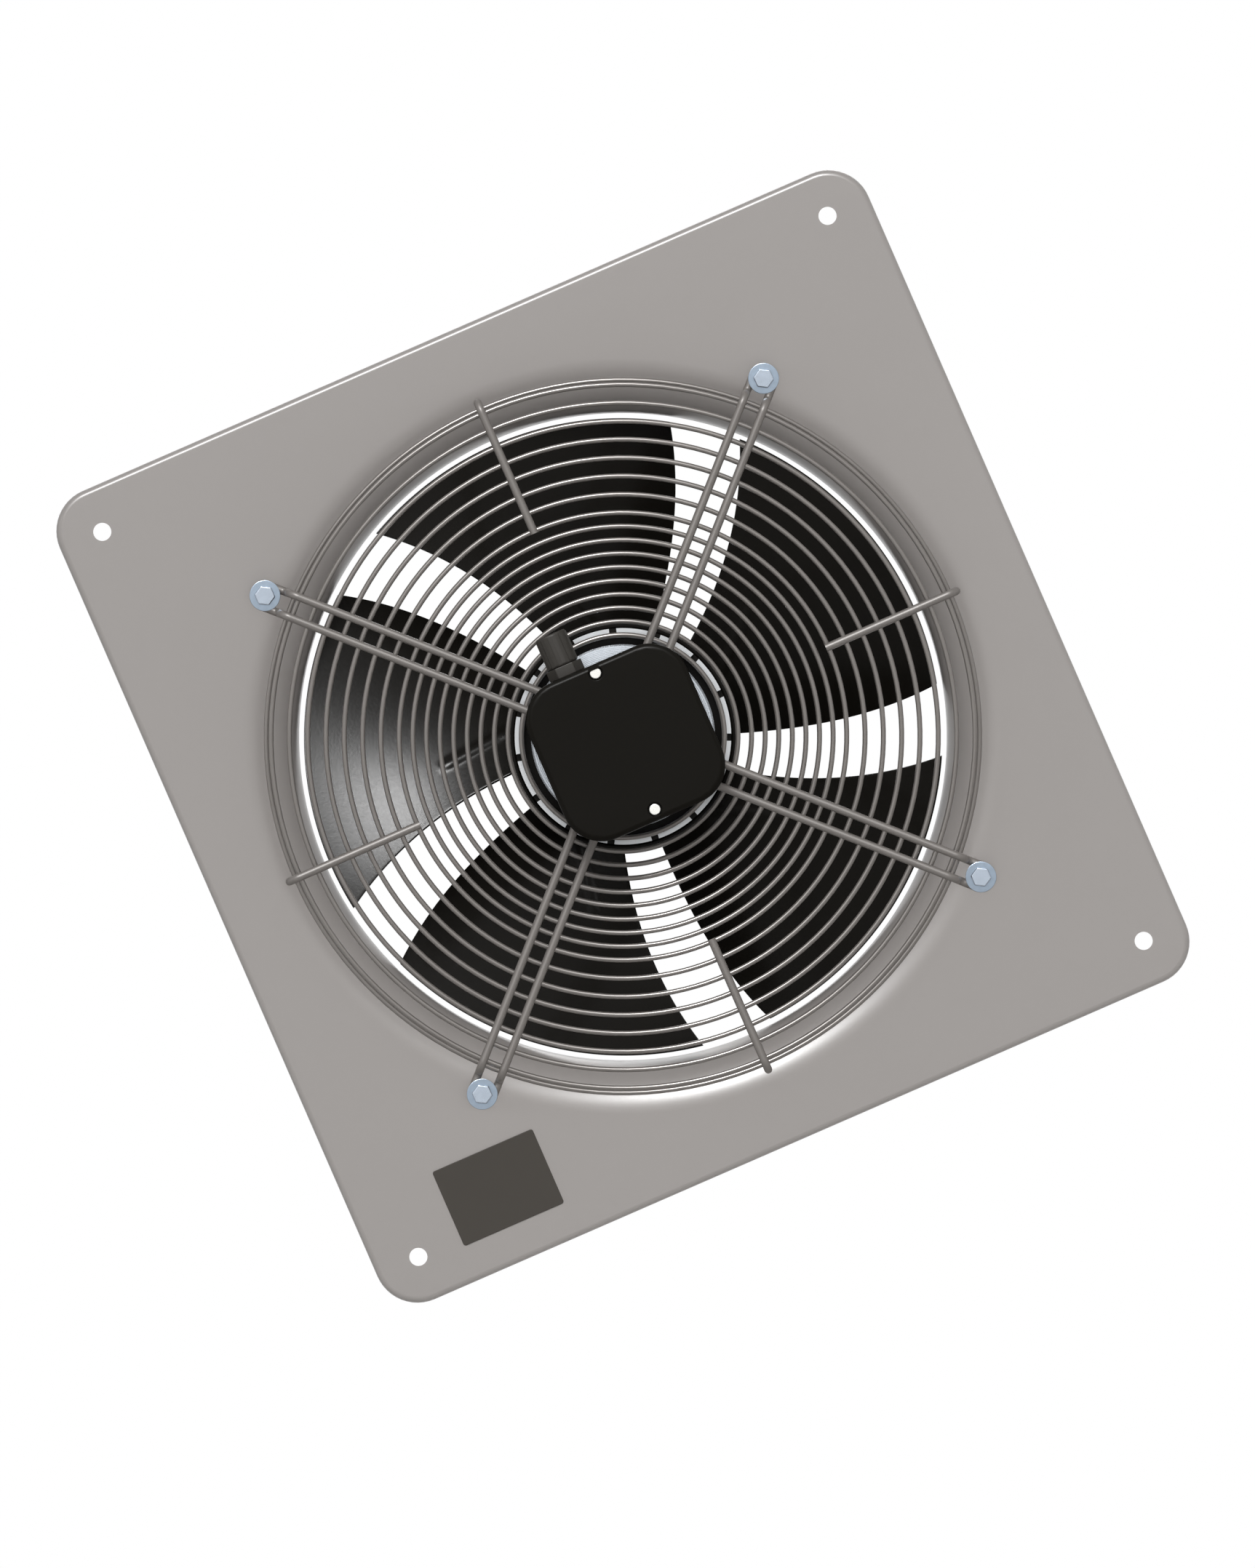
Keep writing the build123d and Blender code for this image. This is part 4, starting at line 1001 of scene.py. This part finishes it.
class FAN_OT_impeller(FanOperator):
    """Builds the hub ring and the swept, cambered blades with their pressed beads"""

    bl_idname = "fan.impeller"
    bl_label = "Impeller"

    def execute(self, context):
        size, coat = context.scene.fan_blade, "semi_gloss_black_coat"
        inner = node_radius("rotor_bell")
        front, back = front_of("impeller_hub"), back_of("impeller_hub")
        bm = bmesh.new()
        profile = [(inner, back), (size.hub, back), (size.hub, front), (inner, front)]
        turn_profile(bm, profile, HUB_STEPS)
        soften(bm, size.hub_edge, segments=3)
        show(bm, "blade_hub_ring", ["impeller_hub"], "impeller", coat)
        for number in range(size.blades):
            bm = bmesh.new()
            self.blade(bm, size, FULL_TURN / size.blades * number)
            name = f"blade_{number + 1}"
            show(bm, f"{name}_sheet", [name], "impeller", coat)
        return {"FINISHED"}

    def blade(self, bm, size, turn):
        """One blade: a grid laid between its edges, raised to the ruled sheet and thickened."""
        across, along = BLADE_STEPS
        grid = bmesh.ops.create_grid(bm, x_segments=across, y_segments=along, size=0.5)["verts"]
        for vert in grid:
            # From the trailing to the leading edge, and from the hub to the tip
            u, v = vert.co.x + 0.5, vert.co.y + 0.5
            radius = size.hub + v * (size.tip - size.hub)
            start, end = self.edge_turn(TRAILING_EDGE, v), self.edge_turn(LEADING_EDGE, v)
            angle_here = start + u * (end - start)
            height = self.height(size, radius, angle_here) + self.bead(size, radius, angle_here)
            vert.co = at(radius, angle_here, height)
        bmesh.ops.rotate(bm, verts=bm.verts, cent=(0, 0, 0), matrix=Matrix.Rotation(-turn, 3, AXIS))
        bmesh.ops.recalc_face_normals(bm, faces=bm.faces)
        bmesh.ops.solidify(bm, geom=bm.faces[:], thickness=size.sheet)
        # The sheet is centred on the ruled surface
        skin = set(grid)
        others = [v for v in bm.verts if v not in skin]
        gap = sum(v.co.y for v in others) / len(others) - sum(v.co.y for v in grid) / len(grid)
        bmesh.ops.translate(bm, verts=bm.verts, vec=(0, -gap / 2, 0))
        soften(bm, size.edge, sharp=60)

    def edge_turn(self, edge, share):
        """The angle of a blade's edge, from its angles at the hub, halfway and at the tip."""
        root, middle, tip = (math.radians(a) for a in edge)
        bulge = middle - (root + tip) / 2
        return root + (tip - root) * share + 4 * bulge * share * (1 - share)

    def height(self, size, radius, turn):
        """The height of the blade's sheet at a place of the front view."""
        x = radius * math.sin(turn - size.axis)
        z = radius * math.cos(turn - size.axis)
        t = (z - size.root_radius) / (size.tip_radius - size.root_radius)
        trail = size.root_trail + t * (size.tip_trail - size.root_trail)
        lead = size.root_lead + t * (size.tip_lead - size.root_lead)
        share = (x + trail) / (lead + trail)
        bulge = 4 * share * (1 - share)
        root_x = share * (size.root_lead + size.root_trail) - size.root_trail
        tip_x = share * (size.tip_lead + size.tip_trail) - size.tip_trail
        root = size.root_height + size.root_slope * root_x + size.root_camber * bulge
        tip = size.tip_height + size.tip_slope * tip_x + size.tip_camber * bulge
        return root + t * (tip - root)

    def bead(self, size, radius, turn):
        """The rise of the pressed bead, a low ridge that fades at its ends."""
        heading = size.bead + size.bead_lean
        x = radius * math.cos(turn) - size.hub * math.cos(size.bead)
        z = radius * math.sin(turn) - size.hub * math.sin(size.bead)
        run = (x * math.cos(heading) + z * math.sin(heading)) / size.bead_length
        side = z * math.cos(heading) - x * math.sin(heading)
        fade = min(1.0, max(0.0, (1 - run) * BEAD_FADE))
        return size.bead_rise * fade * math.exp(-((2 * side / size.bead_width) ** 2))


class FAN_OT_terminal_box(FanOperator):
    """Builds the terminal box: base with collar, lid with screw pockets, gasket and screws"""

    bl_idname = "fan.terminal_box"
    bl_label = "Terminal box"

    def execute(self, context):
        size = context.scene.fan_box
        middle = node_middle("lid_screws")
        half = size.screw_pitch / 2
        spots = [middle + Vector((0, 0, place)) for place in (half, -half)]
        self.base(size, spots)
        self.lid(size, spots)
        self.gasket(size)
        self.screws(size, spots)
        return {"FINISHED"}

    def shell(self, bm, size, rungs):
        """The box's outline at each rung, joined. Returns its loops."""
        outline, centre = node_outline("terminal_box_lid")
        return rounded_shell(bm, outline, size.corner, centre, rungs, BOX_CORNER_STEPS)

    def base(self, size, spots):
        """The open base, with a pillar for each lid screw and a collar round the leads."""
        bm = bmesh.new()
        wall, rim = size.wall, front_of("terminal_box_base")
        inside = size.floor + wall
        rungs = [(wall, inside), (wall, rim), (0, rim)]
        rungs += edge_rungs(size.floor, size.base_edge, BASE_EDGE_TURNS, side=-1)
        loops = self.shell(bm, size, rungs)
        bmesh.ops.edgeloop_fill(bm, edges=loops[0])
        bmesh.ops.edgeloop_fill(bm, edges=loops[-1])
        for spot in spots:
            foot = Vector((spot.x, -inside, spot.z))
            tube(bm, foot, -AXIS, size.pillar_hole, size.pillar, rim - inside)
        back = back_of("terminal_box_base")
        bore, reach = size.collar - size.collar_wall, size.floor - back
        tube(bm, Vector((0, -back, 0)), -AXIS, bore, size.collar, reach, COLLAR_STEPS)
        plastic = "moulded_black_abs"
        show(bm, "box_base_shell", ["terminal_box_base"], "fan_frame", plastic)

    def lid(self, size, spots):
        """The lid, with a rounded rim and a pocket for each screw."""
        bm = bmesh.new()
        wall, lip = size.wall, size.lid_lip
        top, bottom = front_of("terminal_box_lid"), back_of("terminal_box_lid")
        rungs = [(wall, top - wall), (wall, bottom), (lip, bottom), (0, bottom + lip)]
        loops = self.shell(bm, size, rungs + edge_rungs(top, size.lid_edge, EDGE_TURNS))
        bmesh.ops.edgeloop_fill(bm, edges=loops[0])
        mouth = POCKET_RUNGS[0][0] * MM
        rims = [front_circle(bm, mouth, spot.x, -top, spot.z, POCKET_STEPS) for spot in spots]
        bmesh.ops.triangle_fill(bm, use_beauty=True, edges=loops[-1] + rims[0] + rims[1])
        for spot, edges in zip(spots, rims):
            to_pocket = Matrix.Translation((-spot.x, top, -spot.z))
            for (wide, high), (narrow, deep) in zip(POCKET_RUNGS, POCKET_RUNGS[1:]):
                sunk = bmesh.ops.extrude_edge_only(bm, edges=edges)["geom"]
                points = only(bmesh.types.BMVert, sunk)
                edges = [edge for edge in only(bmesh.types.BMEdge, sunk) if edge.is_boundary]
                shrink = (narrow / wide, 1, narrow / wide)
                bmesh.ops.scale(bm, vec=shrink, space=to_pocket, verts=points)
                bmesh.ops.translate(bm, verts=points, vec=AXIS * (deep - high) * MM)
            bmesh.ops.holes_fill(bm, edges=edges, sides=0)
        plastic = "moulded_black_abs"
        show(bm, "box_lid_shell", ["terminal_box_lid"], "fan_frame", plastic)

    def gasket(self, size):
        """The flat gasket between the base's rim and the lid."""
        bm = bmesh.new()
        outer, inner = size.gasket_outside, size.gasket_inside
        low, high = front_of("terminal_box_base"), back_of("terminal_box_lid")
        rungs = [(outer, low), (outer, high), (inner, high), (inner, low), (outer, low)]
        self.shell(bm, size, rungs)
        show(bm, "box_lid_gasket", ["lid_gasket"], "fan_frame", "black_rubber")

    def screws(self, size, spots):
        """The lid's two screws, with round heads."""
        bm = bmesh.new()
        seat = front_of("lid_screws") - size.head_height
        for spot in spots:
            foot = Vector((spot.x, -seat, spot.z))
            rod(bm, foot, -AXIS, size.head, size.head_height, HEAD_SIDES)
        soften(bm, size.head_edge, segments=3)
        for spot in spots:
            foot = Vector((spot.x, -seat, spot.z))
            rod(bm, foot, AXIS, size.screw, seat - back_of("lid_screws"))
        nickel = "nickel_plated_steel"
        show(bm, "box_lid_screws", ["lid_screws"], "fan_frame", nickel)


class FAN_OT_gland(FanOperator):
    """Builds the body and the ribbed cap of the empty cable gland"""

    bl_idname = "fan.gland"
    bl_label = "Cable gland"

    def execute(self, context):
        size, nylon = context.scene.fan_gland, "moulded_polyamide"
        up = Vector((0, 0, 1))
        middle = node_middle("gland_cap")
        foot = Vector((middle.x, middle.y, 0))
        low, high = (corner.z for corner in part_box("gland_cap"))
        wall_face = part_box("terminal_box_base")[1].z
        thread_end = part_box("gland_body")[0].z
        bm = bmesh.new()
        tube(bm, foot + up * thread_end, up, size.bore, size.thread, wall_face - thread_end)
        corner_radius = size.hexagon / math.sqrt(3)
        bottom, reach = foot + up * wall_face, low - wall_face
        hexagon = rod(bm, bottom, up, corner_radius, reach, HEXAGON_SIDES)
        turn = Matrix.Rotation(math.pi / 6, 3, "Z")
        bmesh.ops.rotate(bm, verts=hexagon, cent=foot, matrix=turn)
        soften(bm, size.body_edge)
        show(bm, "gland_hexagon_body", ["gland_body"], "fan_frame", nylon)
        bm = bmesh.new()
        tube(bm, foot + up * low, up, size.cap_bore, size.cap, high - low)
        soften(bm, size.cap_edge, segments=3, sharp=60)
        between = (size.cap_bore + size.cap) / 2
        sides = [
            face
            for face in bm.faces
            if face.normal.xy.length > SQUARE_ON
            and (face.calc_center_median() - foot).xy.length > between
            and face.calc_area() > SMALLEST_SIDE
        ]
        # Each rib takes the first half of its share of the sides
        share = TUBE_SIDES // size.ribs
        side_turn = FULL_TURN / TUBE_SIDES
        ribs = [
            face
            for face in sides
            if round(math.atan2(face.normal.y, face.normal.x) / side_turn - 0.5) % share < share / 2
        ]
        grown = bmesh.ops.extrude_face_region(bm, geom=ribs)["geom"]
        for vert in only(bmesh.types.BMVert, grown):
            away = (vert.co - foot).xy.normalized() * size.rib
            vert.co += Vector((away.x, away.y, 0))
        show(bm, "gland_ribbed_cap", ["gland_cap"], "fan_frame", nylon)
        return {"FINISHED"}


class FAN_OT_rating_plate(FanOperator):
    """Builds the blank label on the plate"""

    bl_idname = "fan.rating_plate"
    bl_label = "Blank label"

    def execute(self, context):
        size = context.scene.fan_plate
        outline, centre = node_outline("rating_plate")
        rungs = [(0, 0)]
        rungs += edge_rungs(front_of("rating_plate"), size.label_edge, LABEL_EDGE_TURNS)
        bm = bmesh.new()
        loops = rounded_shell(bm, outline, size.label_corner, centre, rungs, LABEL_CORNER_STEPS)
        bmesh.ops.edgeloop_fill(bm, edges=loops[0])
        bmesh.ops.edgeloop_fill(bm, edges=loops[-1])
        film = "printed_label_film"
        show(bm, "blank_label", ["rating_plate"], "fan_frame", film)
        return {"FINISHED"}


class FAN_OT_rotor(FanOperator):
    """Finishes the rotor bell: black all over, with the face of its notched rim turned bright"""

    bl_idname = "fan.rotor"
    bl_label = "Rotor bell"

    def execute(self, context):
        mouth = front_of("rotor_bell")
        coat = "semi_gloss_black_coat"
        bell = dress_node("rotor_bell", "impeller", coat)
        bell.data.materials.append(bpy.data.materials["machined_rim"])
        for face in bell.data.polygons:
            if face.normal.y < -SQUARE_ON and -face.center.y > mouth - WELD:
                face.material_index = 1
        return {"FINISHED"}


class FAN_OT_inner_parts(FanOperator):
    """Gives the motor, the bearings and the box's contents their finishes"""

    bl_idname = "fan.inner_parts"
    bl_label = "Motor and inner parts"

    def execute(self, context):
        for body, slot, material, nodes in DRESSED:
            for node in nodes:
                dress_node(node, body, material)
        return {"FINISHED"}


class FAN_OT_stage(FanOperator):
    """Sets up the pale floor, the soft lights, the white backdrop and the camera"""

    bl_idname = "fan.stage"
    bl_label = "Stage"

    def execute(self, context):
        settings = context.scene.fan_stage
        self.backdrop(context, settings)
        self.floor(context, settings)
        key, glint = [self.light(context, settings, *light) for light in LIGHTS][:2]
        key.visible_glossy = False
        glint.visible_diffuse = False
        self.spare_wires((key, glint))
        self.camera(context, settings)
        context.scene.view_settings.view_transform = "Standard"
        return {"FINISHED"}

    def seen_white(self, tree, shader):
        """Mixes a shader with plain white for the camera, mirrors and glass."""
        path = put(tree, "ShaderNodeLightPath", {}).outputs
        seen = path["Is Camera Ray"]
        for name in ("Is Glossy Ray", "Is Transmission Ray"):
            either = put(tree, "ShaderNodeMath", {0: seen, 1: path[name]}, operation="MAXIMUM")
            seen = either.outputs["Value"]
        white = put(tree, "ShaderNodeBackground", {"Color": (1, 1, 1, 1), "Strength": 1.0})
        mixed = put(
            tree, "ShaderNodeMixShader", {0: seen, 1: shader, 2: white.outputs["Background"]}
        )
        return mixed.outputs["Shader"]

    def backdrop(self, context, settings):
        """A soft pale sky that looks white."""
        world = bpy.data.worlds.new("studio_sky")
        context.scene.world = world
        world.use_nodes = True
        tree = world.node_tree
        tree.nodes.clear()
        sky = put(
            tree, "ShaderNodeBackground", {"Color": (1, 1, 1, 1), "Strength": settings.sky}
        )
        surface = self.seen_white(tree, sky.outputs["Background"])
        put(tree, "ShaderNodeOutputWorld", {"Surface": surface})

    def floor(self, context, settings):
        """A wide pale floor below the fan."""
        bm = bmesh.new()
        bmesh.ops.create_grid(bm, x_segments=1, y_segments=1, size=settings.floor_size)
        place = (0, -settings.floor_lead, settings.floor)
        bmesh.ops.translate(bm, verts=bm.verts, vec=place)
        mesh = bpy.data.meshes.new("studio_floor")
        bm.to_mesh(mesh)
        bm.free()
        # Studio paper: nearly white and quite matt
        paper = bpy.data.materials.new("white_paper_floor")
        paper.use_nodes = True
        shader_of(paper).inputs["Base Color"].default_value = rgba(linear("#f4f4f3"))
        shader_of(paper).inputs["Roughness"].default_value = 0.9
        mesh.materials.append(paper)
        ground = bpy.data.objects.new("studio_floor", mesh)
        context.scene.collection.objects.link(ground)

    def picture_axes(self, settings):
        """The picture's right and up, square to the fan's axis."""
        right = Vector((math.cos(settings.roll), 0, -math.sin(settings.roll)))
        up = Vector((math.sin(settings.roll), 0, math.cos(settings.roll)))
        return right, up

    def light(self, context, settings, name, setting, place, side):
        """A square soft light that faces the fan, placed rightwards, forwards and upwards of it."""
        right, up = self.picture_axes(settings)
        lamp = bpy.data.lights.new(name, "AREA")
        lamp.size = side
        lamp.energy = getattr(settings, setting)
        holder = bpy.data.objects.new(name, lamp)
        holder.location = right * place[0] - AXIS * place[1] + up * place[2]
        holder.rotation_euler = (-holder.location).to_track_quat("-Z", "Y").to_euler()
        context.scene.collection.objects.link(holder)
        return holder

    def spare_wires(self, lamps):
        """Keeps the guard's thin wires from striping the bell mouth with their shadows."""
        wires = bpy.data.collections.new("wires_without_shadow")
        for piece in bpy.data.objects:
            if piece.name.startswith("guard_") and piece.type == "MESH":
                wires.objects.link(piece)
        for entry in wires.collection_objects:
            entry.light_linking.link_state = "EXCLUDE"
        for lamp in lamps:
            lamp.light_linking.blocker_collection = wires

    def camera(self, context, settings):
        """The camera of the photograph: square to the plate, and rolled."""
        right, up = self.picture_axes(settings)
        aim = right * settings.shift_x + up * settings.shift_y
        place = aim - AXIS * settings.distance
        lens = bpy.data.cameras.new("photo_camera")
        lens.lens = settings.lens
        lens.sensor_width = 36.0
        camera = bpy.data.objects.new("photo_camera", lens)
        turn = Matrix((right, up, -AXIS)).transposed()
        camera.matrix_world = Matrix.Translation(place) @ turn.to_4x4()
        context.scene.collection.objects.link(camera)
        context.scene.camera = camera


STEPS = (
    FAN_OT_finishes,
    FAN_OT_wall_plate,
    FAN_OT_guard,
    FAN_OT_fasteners,
    FAN_OT_impeller,
    FAN_OT_terminal_box,
    FAN_OT_gland,
    FAN_OT_rating_plate,
    FAN_OT_rotor,
    FAN_OT_inner_parts,
    FAN_OT_stage,
)
SETTINGS = (
    ("fan_plate", FanPlateSizes),
    ("fan_guard", FanGuardSizes),
    ("fan_blade", FanBladeSizes),
    ("fan_fasteners", FanFastenerSizes),
    ("fan_box", FanBoxSizes),
    ("fan_gland", FanGlandSizes),
    ("fan_colours", FanColours),
    ("fan_stage", FanStageSettings),
)


class FAN_PT_sidebar(bpy.types.Panel):
    """Lists the fan's pieces in the 3D view's sidebar"""

    bl_idname = "FAN_PT_sidebar"
    bl_label = "Axial fan"
    bl_space_type = "VIEW_3D"
    bl_region_type = "UI"
    bl_category = "Axial fan"

    def draw(self, context):
        for step in STEPS:
            self.layout.operator(step.bl_idname)
        for name, group in SETTINGS:
            part = self.layout.box()
            for field in group.__annotations__:
                part.prop(getattr(context.scene, name), field)


def register():
    """Registers the settings, the operators and the panel."""
    for name, group in SETTINGS:
        bpy.utils.register_class(group)
        setattr(bpy.types.Scene, name, bpy.props.PointerProperty(type=group))
    for step in STEPS:
        bpy.utils.register_class(step)
    bpy.utils.register_class(FAN_PT_sidebar)


def unregister():
    """Takes everything that register added out again."""
    bpy.utils.unregister_class(FAN_PT_sidebar)
    for step in reversed(STEPS):
        bpy.utils.unregister_class(step)
    for name, group in reversed(SETTINGS):
        delattr(bpy.types.Scene, name)
        bpy.utils.unregister_class(group)


def main():
    """Builds the whole scene."""
    register()
    for step in STEPS:
        group, name = step.bl_idname.split(".")
        getattr(getattr(bpy.ops, group), name)()


if __name__ == "__main__":
    main()
